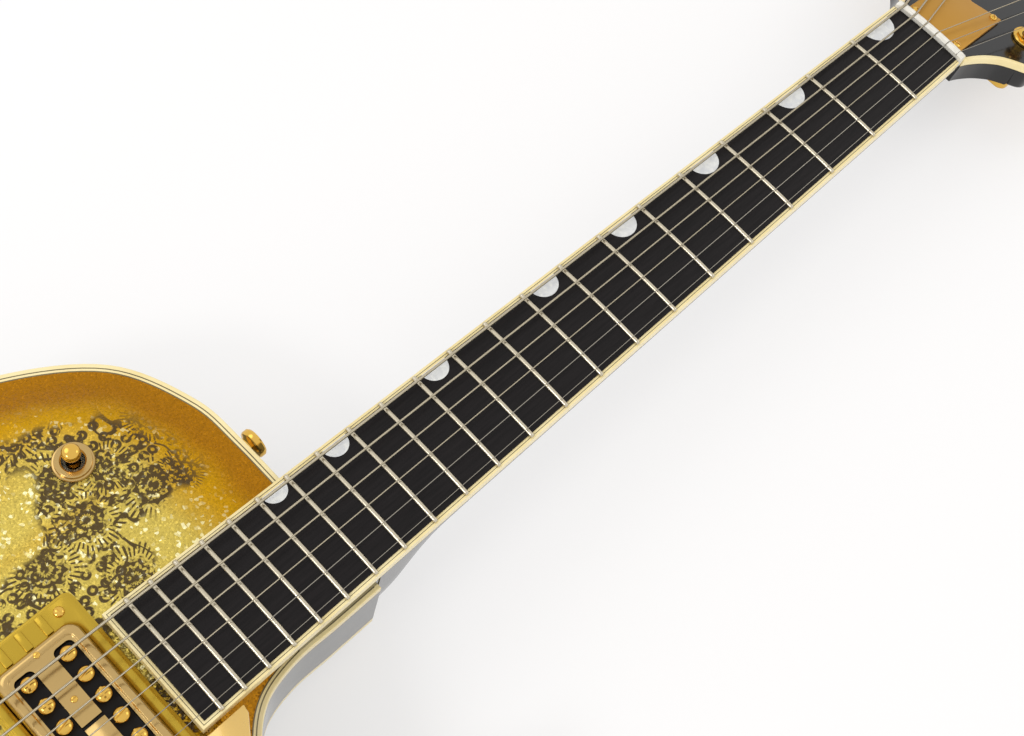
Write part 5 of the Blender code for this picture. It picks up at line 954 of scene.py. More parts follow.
def fretAt(number):
    return neck["scale"] * (1 - 2 ** (-number / 12))


def boardHalf(distance):
    return (neck["nutWidth"] + (neck["endWidth"] - neck["nutWidth"]) * distance / boardLength) / 2


def crownRise(distance, offset):
    half = boardHalf(min(max(distance, 0.0), neck["scale"]))
    return max(half ** 2 - offset ** 2, 0.0) / (2 * neck["radius"])


headstock = {
    "thickness": 0.0145, "binding": 0.0022, "bindingHeight": 0.004, "lead": 0.001, "drop": 0.005,
    "backBevel": 0.0016, "postHole": 0.00525,
    # distance past the nut and half width
    "outline": (
        (0.0014, 0.0217), (0.0042, 0.0225), (0.0085, 0.0241), (0.0153, 0.0274), (0.0211, 0.0313),
        (0.0245, 0.0343), (0.0286, 0.0393), (0.0321, 0.0443), (0.0346, 0.0468), (0.0385, 0.0480),
        (0.0450, 0.0475), (0.0600, 0.0463), (0.1000, 0.0435), (0.1350, 0.0428), (0.1550, 0.0452),
        (0.1660, 0.0462), (0.1705, 0.0430), (0.1700, 0.0330), (0.1722, 0.0180), (0.1775, 0.0),
    ),
    "posts": ((0.0495, 0.0320), (0.0875, 0.0310), (0.1255, 0.0300)),
}


def faceOutline(distance, lead=0.0):
    half = smoothCurve([Vector(p) for p in headstock["outline"]], 4)
    whole = half + [Vector((p.x, -p.y)) for p in reversed(half[:-1])]
    found = inset(whole, distance) if distance else whole
    found[0] = Vector((whole[0].x - lead, whole[0].y - distance - lead))
    found[-1] = Vector((whole[-1].x - lead, whole[-1].y + distance + lead))
    return found


def neckSection(distance, depth, power, top=None, count=28):
    top = neckTop if top is None else top
    half = boardHalf(max(distance, 0.0))
    points = []
    for i in range(count + 1):
        turn = math.pi * i / count
        across = math.cos(turn)
        y = math.copysign(abs(across) ** power, across) * half
        points.append(Vector((-distance, y, top - depth * abs(math.sin(turn)) ** power)))
    return points


def makeNeck():
    drop = body["topEdge"] - body["backEdge"]
    heelDepth = drop + neck["edgeBelowFrets"] * math.cos(neckAngle) + neckTop
    toBody = neck["toBody"]
    stations = [Vector((toBody - x, heelDepth * share, power)) for x, share, power in neck["heel"]]
    stations += [Vector((x, depth, neck["backPower"])) for x, depth in neck["back"]]
    joint = neckSection(*stations[0])
    for point in joint:
        point.x = -toBody - (point.z + neck["edgeBelowFrets"]) * math.tan(neckAngle) + gap
    rings = [joint] + [neckSection(*s) for s in smoothCurve(stations, 4)[2:]]
    under = -headstock["drop"] - headstock["bindingHeight"] - 2 * gap
    for past, fallAbove, fallBelow in neck["ramp"]:
        high = under - fallAbove
        low = neckTop - neck["wood"] - fallBelow
        points = neckSection(-neck["shelf"] - 0.0005 - past, high - low, neck["rampPower"], top=high)
        narrow = 1 - past * neck["rampNarrowing"]
        rings.append([Vector((p.x, p.y * narrow, p.z)) for p in points])
    wood = ringStack("neckWood", rings)

    outer = [(p.x, p.y) for p in faceOutline(0.0)]
    inner = [(p.x, p.y) for p in faceOutline(headstock["binding"] + touch, headstock["lead"])]
    step = -headstock["bindingHeight"] - touch
    slab = plate("headstockSlab", outer, -headstock["thickness"], step)
    pick(slab)
    bpy.ops.object.mode_set(mode='EDIT')
    bpy.ops.mesh.select_all(action='DESELECT')
    mesh = bmesh.from_edit_mesh(slab.data)
    for edge in mesh.edges:
        if all(v.co.z < -headstock["thickness"] + 1e-6 and v.co.x > 0.03 for v in edge.verts):
            edge.select_set(True)
    bmesh.update_edit_mesh(slab.data)
    bpy.ops.mesh.bevel(offset=headstock["backBevel"], segments=3)
    bpy.ops.object.mode_set(mode='OBJECT')
    carve(wood, moved(slab, headInNeck), how='UNION')
    carve(wood, moved(plate("headstockFace", inner, step - 0.001, 0.0), headInNeck), how='UNION')

    # the tongue under the board's end follows the top's arch, with a cheek beside the cutaway
    half = boardHalf(toBody) - neck["tongueInset"]
    inverse = neckPlace.inverted()

    def besideTop(x, rise=0.0):
        return inverse @ Vector((bodyPlace.translation.x + x, sideways, body["topEdge"] + rise + gap))

    start, length = neck["tongueArch"]
    lower = [besideTop(0.006)]
    lower += [besideTop(-start - length * i / 8, body["topArch"] * archRise(i / 8)) for i in range(9)]
    lower.append(besideTop(toBody + 0.004 - boardLength, body["topArch"]))
    profile = [(p.x, p.z) for p in lower] + [(lower[-1].x, neckTop), (lower[0].x, neckTop - 0.0001)]
    tongue = ringStack("tongue", [sideRing(profile, side * half) for side in (-1, 1)])
    ends = [besideTop(x) for x in (0.004, -0.040)]
    profile = [(p.x, p.z) for p in ends] + [(p.x, neckTop) for p in ends[::-1]]
    cheek = ringStack("tongueCheek", [sideRing(profile, y) for y in (-half, -half + neck["cheek"])])
    carve(wood, tongue, cheek, how='UNION')
    carve(wood, moved(block("tenon", *neck["tenon"]), inverse @ bodyPlace), how='UNION')
    wide = neck["channelHalf"]
    cutters = [block("rodChannel", (neck["channelEnd"] - toBody, -wide, neckTop - neck["channelDepth"]),
                     (neck["channelPastNut"], wide, 0.004))]
    radius = headstock["postHole"]
    for x, y in headstock["posts"]:
        for side in (1, -1):
            hole = turned("postHole", ((radius, -headstock["thickness"] - 0.004), (radius, 0.004)))
            cutters.append(moved(hole, headInNeck @ at(x, side * y)))
    carve(wood, *cutters)
    # the neck has the thicker lacquer, the headstock the thinner one
    for face in wood.data.polygons:
        face.material_index = 1 if face.center.x < -0.004 else 0
    finished(wood, neckPlace, "guitar", [finish["black"], finish["blackSides"]], ["neck"], 30)

    strip = faceOutline(0.0) + faceOutline(headstock["binding"])[::-1]
    trim = plate("headstockBinding", [(p.x, p.y) for p in strip], -headstock["bindingHeight"], 0.0)
    finished(soften(trim, 0.0003, 2, 60), headPlace, "guitar", [finish["cream"]],
             ["headstock_binding"])


# Radius of the half-round inlay at a fret, its place along the neck and its straight side's offset
def inlayPlace(number):
    share = (number - 1) / 16
    radius = neck["inlayFirst"] + (neck["inlayLast"] - neck["inlayFirst"]) * share ** 0.7
    middle = (fretAt(number - 1) + fretAt(number)) / 2
    return radius, -middle, boardHalf(middle) - neck["binding"] - gap


def makeBoard():
    def section(distance):
        half = boardHalf(distance) - neck["binding"]
        offsets = [half * (i / 8 - 1) for i in range(17)]
        top = [Vector((-distance, y, -neck["fretHeight"] + crownRise(distance, y))) for y in offsets]
        return top + [Vector((-distance, half, boardBottom)), Vector((-distance, -half, boardBottom))]

    end = boardLength - neck["binding"]
    board = ringStack("ebonyBoard", [section(gap + (end - gap) * i / 24) for i in range(25)])

    def discs(name, shrink, low):
        made = []
        for number in neck["inlayFrets"]:
            radius, x, edge = inlayPlace(number)
            radius -= shrink
            arc = [math.pi * i / 24 for i in range(25)]
            outline = [(x + radius * math.cos(a), edge - radius * math.sin(a)) for a in arc]
            outline += [(x - radius, edge + 0.002), (x + radius, edge + 0.002)]
            made.append(plate(name, outline, low, 0.003))
        return together(name, made)

    floor = -neck["fretHeight"] - neck["inlayDepth"]
    pearl = copied(board, "pearlInlays", Matrix.Identity(4))
    carve(pearl, discs("inlayShapes", neck["inlayFit"], floor + body["glueGap"]), how='INTERSECT')
    carve(board, discs("inlayPockets", 0.0, floor))
    finished(pearl, neckPlace, "guitar", [finish["pearl"]])
    finished(board, neckPlace, "guitar", [finish["ebony"]], ["fingerboard"], 25)


fret = {
    # half of the crown from its foot to its middle: offset, height
    "crown": ((-0.00104, 0.0), (-0.00102, 0.0004), (-0.00082, 0.0008), (-0.00044, 0.0011)),
    "height": 0.0012, "sunk": 0.00006,
    # the rounded end: share of the half length, share of the height
    "end": ((1.0, 0.35), (0.992, 0.72), (0.976, 0.95), (0.95, 1.0)),
}


# One fret of half length 1, then a copy bent to the board at each place
def makeFrets():
    crown = [*fret["crown"], (0.0, fret["height"]), *[(-x, z) for x, z in reversed(fret["crown"])]]
    shares = [-1 + i / 10 for i in range(21)]
    stations = [(-y, k) for y, k in fret["end"]] + [(y, 1.0) for y in shares if abs(y) < 0.94]
    stations += [(y, k) for y, k in reversed(fret["end"])]
    rings = [[Vector((x * (0.55 + 0.45 * k), y, z * k)) for x, z in crown] for y, k in stations]
    wire = ringStack("fretWire", rings)
    copies = []
    for number in range(1, 23):
        distance = fretAt(number)
        half = boardHalf(distance) - neck["fretInset"]
        foot = boardHalf(distance) - neck["binding"]
        made = copied(wire, "fret", Matrix.Identity(4))
        for vert in made.data.vertices:
            y = vert.co.y * half
            rise = crownRise(distance, min(abs(y), foot)) - fret["sunk"]
            vert.co = (vert.co.x - distance, y, vert.co.z - neck["fretHeight"] + rise)
        copies.append(made)
    discard(wire)
    finished(together("frets", copies), neckPlace, "guitar", [finish["fret"]], (), 60)


# The binding of the board: cream, a thin dark line and cream again, on three sides
def makeBoardBinding():
    start = gap
    lines = (0.0, 0.0010, 0.0013, neck["binding"])
    high = -neck["fretHeight"] - neck["bindingStep"]

    def path(offset):
        first, last = boardHalf(start) - offset, boardHalf(boardLength) - offset
        end = boardLength - offset
        return [(-start, first), (-end, last), (-end, -last), (-start, -first)]

    pieces = []
    for outer, inner, kind in zip(lines, lines[1:], ("cream", "line", "cream")):
        strip = path(outer) + path(inner)[::-1]
        piece = facingOut(plate("boardStrip", strip, boardBottom, high))
        piece.data.materials.append(finish[kind])
        pieces.append(piece)
    binding = together("boardBinding", pieces)
    finished(binding, neckPlace, "guitar", [], ["fingerboard_binding"])


makeNeck()
makeBoard()
makeFrets()
makeBoardBinding()
print("neck and fingerboard done")


# Strings, from the bass side

string = {
    "radii": (0.00062, 0.00048, 0.00036, 0.00026, 0.00020, 0.00014),
    "nutSpread": 0.0355, "bridgeSpread": 0.0520, "nutRise": 0.0005, "bridgeRise": 0.0033,
    "postWaist": 0.0026, "wrapTurns": 9 / 8, "windLevel": 0.0078, "windGap": 0.0005, "clear": 0.00008,
    "rocker": 0.0050, "crest": 0.0015,
}
# of the vibrato's string bar, in the body's place
rockerAxis = Vector((-0.514 + 0.088, 0, topFlat + 0.0095))


def stringAtNut(number):
    y = string["nutSpread"] * (0.5 - number / 5)
    return y, crownRise(0.0, y) + string["nutRise"] + string["radii"][number]


def stringAtBridge(number):
    y = string["bridgeSpread"] * (0.5 - number / 5)
    rise = ((string["bridgeSpread"] / 2) ** 2 - y ** 2) / (2 * neck["radius"])
    return y, rise + string["bridgeRise"] + string["radii"][number]


def postPlace(number):
    x, y = headstock["posts"][number if number < 3 else 5 - number]
    return x, y if number < 3 else -y


def stringRoute(number):
    x, y = postPlace(number)
    side = 1 if number < 3 else -1
    radius = string["postWaist"] + string["radii"][number] + string["clear"]
    pitch = 2 * string["radii"][number] + string["windGap"]
    windings = []
    for i in range(37):
        turns = string["wrapTurns"] * i / 36
        turn = 2 * math.pi * turns
        windings.append(headInNeck @ Vector((x + radius * math.sin(turn), y - side * radius * math.cos(turn),
                                             string["windLevel"] - pitch * turns)))
    nutPlace, bridgePlace = stringAtNut(number), stringAtBridge(number)
    points = windings[::-1] + [Vector((0.00275, *nutPlace)), Vector((0.0, *nutPlace))]
    points += [Vector((x - neck["scale"], *bridgePlace)) for x in (string["crest"], -string["crest"])]
    toNeck = neckPlace.inverted() @ bodyPlace
    reach = string["rocker"] + string["radii"][number] + string["clear"]
    for i in range(10):
        turn = math.radians(150 * i / 9)
        points.append(toNeck @ (rockerAxis + Vector((-reach * math.sin(turn), bridgePlace[0],
                                                    reach * math.cos(turn)))))
    return points


def makeStrings():
    for number, radius in enumerate(string["radii"]):
        points = stringRoute(number)
        wire = roundBar(f"guitarString{number + 1}", points, radius, 10)
        along = [0.0]
        for a, b in zip(points, points[1:]):
            along.append(along[-1] + (b - a).length)
        mark = wire.data.attributes.new("alongString", 'FLOAT', 'POINT')
        mark.data.foreach_set("value", [along[i // 10] for i in range(len(wire.data.vertices))])
        kind = "wound" if number < 4 else "plain"
        finished(wire, neckPlace, "guitar", [finish[kind]], [f"string_{number + 1}"], 80)


def stringCutter(number):
    return roundBar("stringCutter", stringRoute(number), string["radii"][number] + 0.00015, 10)


def makeNut():
    half = boardHalf(0.0) - 0.0003
    rings = []
    for i in range(21):
        y = half * (i / 10 - 1)
        soft = 1 if 0 < i < 20 else 0.75
        top = neck["nutRise"] + crownRise(0.0, y) - (0 if soft == 1 else 0.0003)
        low = neckTop + gap
        back = neck["nut"] - 0.0001
        profile = ((touch, low), (back, low), (back, top - 0.0013), (neck["nut"] * 0.86, top - 0.0006),
                   (neck["nut"] * 0.6, top), (0.0004, top), (touch, top - 0.0003))
        rings.append(sideRing(profile, y))
    nut = ringStack("boneNut", rings)
    for number in range(6):
        carve(nut, stringCutter(number))
    finished(nut, neckPlace, "guitar", [finish["bone"]], ["nut"])


makeStrings()
makeNut()
print("strings and nut done")


# A domed screw head with a slot, standing on level 0, and its shank below
def slottedScrew(name, radius, height, shank=0.0):
    profile = [(radius * 0.62, -shank)] if shank else []
    profile += [(radius * 0.98, -0.00001 if shank else 0.0)]
    for angle in (0, 20, 40, 60, 78):
        turn = math.radians(angle)
        profile.append((radius * math.cos(turn), height * (0.25 + 0.75 * math.sin(turn))))
    reach, half = radius * 1.2, radius * 0.13
    slot = block("slotCutter", (-reach, -half, height * 0.52), (reach, half, height * 2))
    return carve(turned(name, profile, 24), slot)


sunk = 0.0001                    # of every small screw head in its sheet
cover = {
    "halfWidth": 0.0170, "length": 0.0455, "notch": 0.0045, "thickness": 0.0022, "start": 0.0012,
    "soft": 0.0007, "screw": (0.0021, 0.0011), "screwInset": 0.0036, "screwsFrom": 0.0030,
    "screwsTo": 0.0034,
}


def makeRodCover():
    start, length, half = cover["start"], cover["length"], cover["halfWidth"]
    outline = [(start, -half), (length, -half), (length - cover["notch"], 0.0), (length, half), (start, half)]
    sheet = soften(plate("rodCoverPlate", outline, gap, gap + cover["thickness"]), cover["soft"], 3)
    finished(sheet, headPlace, "guitar", [finish["satin"]], ["truss_rod_cover"])
    level = gap + cover["thickness"] - sunk
    far = half - cover["screwInset"]
    spots = [(x, y) for x in (start + cover["screwsFrom"], length - cover["screwsTo"]) for y in (far, -far)]
    places = [at(x, y, level) @ turnedBy(0.6 + i * 1.1) for i, (x, y) in enumerate(spots)]
    screwGroup("rodCoverScrews", slottedScrew("coverScrew", *cover["screw"]), places, headPlace)


tuner = {
    "housing": (0.0254, 0.0176, 0.0096), "corner": 0.005, "shaftBelowBack": 0.0053, "gear": 0.0052,
    "worm": 0.0020, "gap": 0.0005, "buttonStart": 0.021, "soft": 0.0016, "shaftNeck": 0.0023,
    # radius, level over the case's lowest face
    "lid": ((0.0062, 0.0004), (0.0062, -0.0004), (0.0054, -0.0006)),
    # radius, level over the headstock's face
    "bushing": ((0.0048, gap), (0.0075, gap), (0.0075, gap + 0.0010), (0.0071, gap + 0.0014)),
    "hexCollar": ((0.0058, gap + 0.0009), (0.0058, gap + 0.0024)),
    "post": ((0.0030, 0.0036), (0.0026, 0.0044), (0.0026, 0.0090), (0.0031, 0.0096), (0.0045, 0.0100),
             (0.0046, 0.0104), (0.0046, 0.0120), (0.0041, 0.0125)),
    # distance along the shaft, half width, half thickness
    "button": ((0.0, 0.0030, 0.0030), (0.0020, 0.0042, 0.0036), (0.0055, 0.0072, 0.0042),
               (0.0115, 0.0092, 0.0042), (0.0160, 0.0076, 0.0036), (0.0180, 0.0040, 0.0020)),
}


# Modelled for a post at the origin of the headstock's face, on the bass side
def makeTuners():
    under = -headstock["thickness"] - gap
    sizeX, sizeY, sizeZ = tuner["housing"]
    case = plate("gearCase", roundedBox(sizeX / 2, sizeY / 2, tuner["corner"]), under - sizeZ, under)
    soften(case, tuner["soft"], 3, 60)
    lid = turned("caseLid", [(r, under - sizeZ + z) for r, z in tuner["lid"]])
    sleeve = turned("bushing", [(tuner["bushing"][0][0], under - 0.001), *tuner["bushing"]], 40)
    collar = soften(turned("hexCollar", tuner["hexCollar"], 6), 0.0003, 2)
    carve(case, lid, sleeve, collar, how='UNION')
    shaftX = tuner["gear"] + tuner["worm"] + tuner["gap"]
    shaftZ = -headstock["thickness"] - tuner["shaftBelowBack"]
    bore = turned("postBore", ((0.0059, under - sizeZ + 0.0012), (0.0059, shaftZ + 0.0028),
                               (0.00345, shaftZ + 0.0028), (0.00345, 0.006)))
    shaftBore = moved(turned("shaftBore", ((0.0025, -0.0075), (0.0025, 0.020))),
                      aimed((shaftX, 0, shaftZ), (0, 1, 0)))
    carve(case, bore, shaftBore)
    wheel = tuner["gear"]
    post = turned("stringPost", ((wheel, shaftZ - 0.0025), (wheel, shaftZ + 0.0022),
                                 (tuner["post"][0][0], shaftZ + 0.0022), *tuner["post"]), 36)
    carve(post, block("postSlot", (-0.006, -0.0007, 0.0111), (0.006, 0.0007, 0.0140)))
    shape = smoothCurve(tuner["button"], 3)
    rings = [ringOf(tuner["worm"], z, 28) for z in (-0.0070, 0.012)]
    rings += [ringOf(tuner["shaftNeck"], z, 28) for z in (0.0125, tuner["buttonStart"] - 0.0008)]
    for along, wide, thick in shape:
        level = tuner["buttonStart"] + along
        rings.append([Vector((p.x * wide, p.y * thick, level)) for p in ringOf(1.0, 0.0, 28)])
    button = moved(ringStack("tunerButton", rings), Matrix.Rotation(-math.pi / 2, 4, 'X'))
    for number in range(6):
        mirror = Matrix.Diagonal((1, 1 if number < 3 else -1, 1, 1))
        place = headPlace @ at(*postPlace(number)) @ mirror
        label = str(number + 1)
        finishedGold(copied(case, "tunerHousing" + label, at(0, 0)), place, ["tuner_housing_" + label])
        finishedGold(copied(post, "tunerPost" + label, at(0, 0)), place, ["tuner_post_" + label],
                     f"tuner_post_{label}_body")
        finishedGold(copied(button, "tunerButton" + label, at(shaftX, 0, shaftZ)), place,
                     ["tuner_button_" + label], f"tuner_button_{label}_body")
    discard(case, post, button)


makeRodCover()
makeTuners()
print("headstock hardware done")


# Pickups and their bezels, in the body's place

def stringLevel(distance):
    share = distance / neck["scale"]
    rise = string["nutRise"] + (string["bridgeRise"] - string["nutRise"]) * share
    return (neckPlace @ Vector((-distance, 0, rise))).z


def makePickup(label, distance):
    centre = alongBody(distance)
    high = stringLevel(distance) - pickup["belowStrings"]
    halfX, halfY = pickup["width"] / 2, pickup["length"] / 2
    shift = at(centre, 0, high)

    # cover: rounded outside, a sunk middle, two long slots and a split bar between them
    rings = [[Vector((x, y, level)) for x, y in roundedBox(halfX - inward, halfY - inward, radius, 8)]
             for inward, level, radius in pickup["coverShape"]]
    shell = ringStack("pickupCover", rings)
    wall = pickup["wall"]
    cutters = [plate("coverHollow", roundedBox(halfX - wall, halfY - wall, 0.0040, 8), -0.0220, -0.0060)]
    for side in (-1, 1):
        slot = [(x + side * pickup["poleRows"] / 2, y) for x, y in roundedBox(*pickup["slot"])]
        cutters.append(plate("coverSlot", slot, -0.0032, 0.002))
    cutters.append(block("barGap", (-0.0046, -0.00065, -0.0022), (0.0046, 0.00065, 0.002)))
    soften(carve(shell, *cutters), 0.00025, 2, 40)
    finished(shell, bodyPlace @ shift, "guitar", [finish["cover"], finish["bobbin"]],
             [label + "_pickup"])
    for face in shell.data.polygons:
        middle = (bodyPlace @ shift).inverted() @ face.center
        if middle.z < -0.0016 and abs(middle.x) < halfX - 0.0045 and abs(middle.y) < halfY - 0.0045:
            face.material_index = 1

    poles = []
    screw = slottedScrew("poleScrew", *pickup["pole"])
    turns = random.Random(pickup[label + "Seed"])
    for side in (-1, 1):
        for i in range(6):
            place = at(side * pickup["poleRows"] / 2, pickup["polePitch"] * (i - 2.5), -pickup["poleSunk"])
            poles.append(copied(screw, "pole", place @ turnedBy(turns.uniform(0, math.pi))))
    small = slottedScrew("coverRivet", *pickup["rivet"])
    middle, end = pickup["rivetsAt"]
    for y, level in ((middle, -pickup["sunk"]), (halfY - end, 0.0)):
        for side in (1, -1):
            poles.append(copied(small, "rivet", at(0, side * y, level)))
    discard(screw, small)
    finishedGold(together(label + "PickupScrews", poles), bodyPlace @ shift)


# A step round the outside, a fall towards the cover, and ribs on the two ends
def makeBezel(label, distance, bezelHeight):
    centre = alongBody(distance)
    wide, long = pickup["bezelWidth"] / 2, pickup["bezelLength"] / 2
    base = topFlat + touch
    rise = bezelHeight + gap
    holeX, holeY = pickup["width"] / 2 + 0.0005, pickup["length"] / 2 + 0.0005
    shape = [(wide - inward, long - inward, radius, rise * share)
             for inward, share, radius in pickup["bezelShape"]]
    shape += [(holeX + 0.0005, holeY + 0.0005, 0.0053, rise - 0.0004), (holeX, holeY, 0.0050, rise - 0.0009),
              (holeX, holeY, 0.0050, 0.0)]
    rings = [[Vector((centre + x, y, base + level)) for x, y in roundedBox(halfX, halfY, radius, 8)]
             for halfX, halfY, radius, level in shape]
    bezel = ringStack(label + "Bezel", rings, joined=True)
    half, inward = pickup["rib"]
    near, far = holeY + 0.0005, long - inward
    for start, end in ((-far, -near), (near, far)):
        for i in (-1, 0, 1):
            x = centre + i * pickup["ribPitch"]
            rib = block("bezelRib", (x - half, start, base + rise * 0.4),
                        (x + half, end, base + rise + 0.0007))
            carve(bezel, soften(rib, 0.0006, 2), how='UNION')
    finished(bezel, bodyPlace, "guitar", [finish["bezel"]], [label + "_pickup_bezel"], 40)
    offX, offY = pickup["bezelScrewAt"]
    places = [at(centre + x * offX, y * offY, base + rise - 0.0003) @ turnedBy(x + y * 0.7)
              for x in (-1, 1) for y in (-1, 1)]
    screwGroup(label + "BezelScrews", slottedScrew("bezelScrew", *pickup["bezelScrew"]), places, bodyPlace)


for label in ("neck", "bridge"):
    makePickup(label, pickup[label + "At"])
    makeBezel(label, pickup[label + "At"], pickup[label + "BezelHeight"])
print("pickups done")


# Bridge

bridge = {
    "baseLength": 0.128, "baseWidth": 0.018, "baseHeight": 0.0065, "stud": 0.0020, "studOffset": 0.037,
    "wheel": 0.0065, "wheelThickness": 0.0022, "wheelEdge": 0.0006, "wheelKnurl": 0.02,
    "barLength": 0.090, "barWidth": 0.0090, "barHeight": 0.0090,
    # shares of the half length, the height and the half width
    "foot": ((-1, 0.5, 0.55), (-0.7, 0.85, 0.9), (-0.45, 1.0, 1.0), (0, 1.0, 1.0), (0.45, 1.0, 1.0),
             (0.7, 0.85, 0.9), (1, 0.5, 0.55)),
}


def makeBridge():
    centre = alongBody(neck["scale"])
    low = topFlat + touch
    half = bridge["baseLength"] / 2
    rings = []
    for y, height, width in smoothCurve([(half * y, h, w) for y, h, w in bridge["foot"]], 5):
        top = low + bridge["baseHeight"] * height
        wide = bridge["baseWidth"] / 2 * width
        right = [(wide, low), (wide, low + 0.0015), (wide * 0.74, top - 0.0006), (wide * 0.62, top)]
        left = [(-x, z) for x, z in reversed(right)]
        profile = left[-1:] + right + left[:-1]
        rings.append(sideRing(profile, y, centre))
    foot = ringStack("bridgeBase", rings)
    finished(foot, bodyPlace, "guitar", [finish["ebony"]], ["bridge_base"], 30)
    barLow = stringLevel(neck["scale"]) - bridge["barHeight"]
    wheelTop = barLow - gap
    studs = []
    wheel, edge = bridge["wheel"], bridge["wheelEdge"]
    wheelLow = wheelTop - bridge["wheelThickness"]
    for side in (1, -1):
        bolt = turned("bridgeStud", ((bridge["stud"], low + bridge["baseHeight"] - 0.002),
                                     (bridge["stud"], barLow + bridge["barHeight"] * 0.55)), 20)
        rings = []
        for r, z in ((wheel - edge, wheelLow), (wheel, wheelLow + 0.0004), (wheel, wheelTop - 0.0004),
                     (wheel - edge, wheelTop)):
            ring = ringOf(r, z, 56)
            for i, point in enumerate(ring):
                point.xy *= 1 + bridge["wheelKnurl"] * (-1) ** i
            rings.append(ring)
        carve(bolt, ringStack("thumbwheel", rings), how='UNION')
        studs.append(moved(bolt, at(centre, side * bridge["studOffset"])))
    finishedGold(together("bridgeStuds", studs), bodyPlace)

    barHalf, barWide = bridge["barLength"] / 2, bridge["barWidth"] / 2
    rings = []
    for i in range(31):
        y = barHalf * (i / 15 - 1)
        rise = max((string["bridgeSpread"] / 2) ** 2 - y ** 2, 0.0) / (2 * neck["radius"])
        end = max(abs(y) - 0.040, 0) / 0.005
        high = barLow + bridge["barHeight"] + rise + 0.0002 - 0.0025 * end
        right = [(barWide - 0.0004, barLow), (barWide, barLow + 0.0004), (barWide, high - 0.0030),
                 (barWide - 0.0006, high - 0.0024), (0.0022, high - 0.0016), (0.0010, high - 0.0002)]
        left = [(-x, z) for x, z in reversed(right)]
        profile = left[-2:] + right + [(0.0, high)] + left[:-2]
        rings.append(sideRing(profile, y, centre))
    bar = ringStack("bridgeBar", rings)
    radius = bridge["stud"] + 0.0005
    profile = ((radius, barLow - 0.002), (radius, barLow + bridge["barHeight"] * 0.65))
    holes = [moved(turned("studHole", profile), at(centre, side * bridge["studOffset"]))
             for side in (1, -1)]
    # gaps divide the crest into six saddles
    crest = barLow + bridge["barHeight"]
    for i in range(5):
        y = string["bridgeSpread"] * (0.4 - i / 5)
        holes.append(block("saddleGap", (centre - 0.006, y - 0.0005, crest - 0.0012),
                           (centre + 0.006, y + 0.0005, crest + 0.006)))
    carve(bar, *holes)
    for number in range(6):
        carve(bar, moved(stringCutter(number), bodyPlace.inverted() @ neckPlace))
    finishedGold(bar, bodyPlace, ["bridge_bar"], smooth=30)


makeBridge()
print("bridge done")


# Vibrato tailpiece

vibrato = {
    "thickness": 0.0025, "halfWidth": 0.0420, "tailHalfWidth": 0.0200, "rockerHalf": 0.0310,
    "trunnion": 0.0026, "boreGap": 0.0005, "ear": 0.0050, "earHalf": 0.0085,
    "springAhead": 0.034, "springOffset": -0.049, "springRadius": 0.0066, "wire": 0.0013, "turns": 4,
    "cup": 0.0112, "cupWall": 0.0016, "cupHeight": 0.0022, "bracket": 0.0040, "bracketRise": 0.0165,
    "bracketHalf": 0.007, "boss": 0.0095, "rod": 0.0030, "pin": 0.0026, "eye": 0.0050,
    "pinTurn": 205, "stringPin": ((0.0011, 0.0), (0.0011, 0.0029), (0.0008, 0.0032)),
    "downTurn": 5,      # degrees that the rocker comes down by
    "eyeShape": ((0.9, 0.0), (0.9, 0.7), (0.82, 0.85), (0.6, 0.96), (0.3, 1)),
    "route": ((0.004, 0.0, 0.0), (0.018, -0.002, 0.0040), (0.040, -0.006, 0.0120),
              (0.075, -0.010, 0.0180), (0.110, -0.011, 0.0190), (0.140, -0.011, 0.0185),
              (0.165, -0.011, 0.0180)),
}


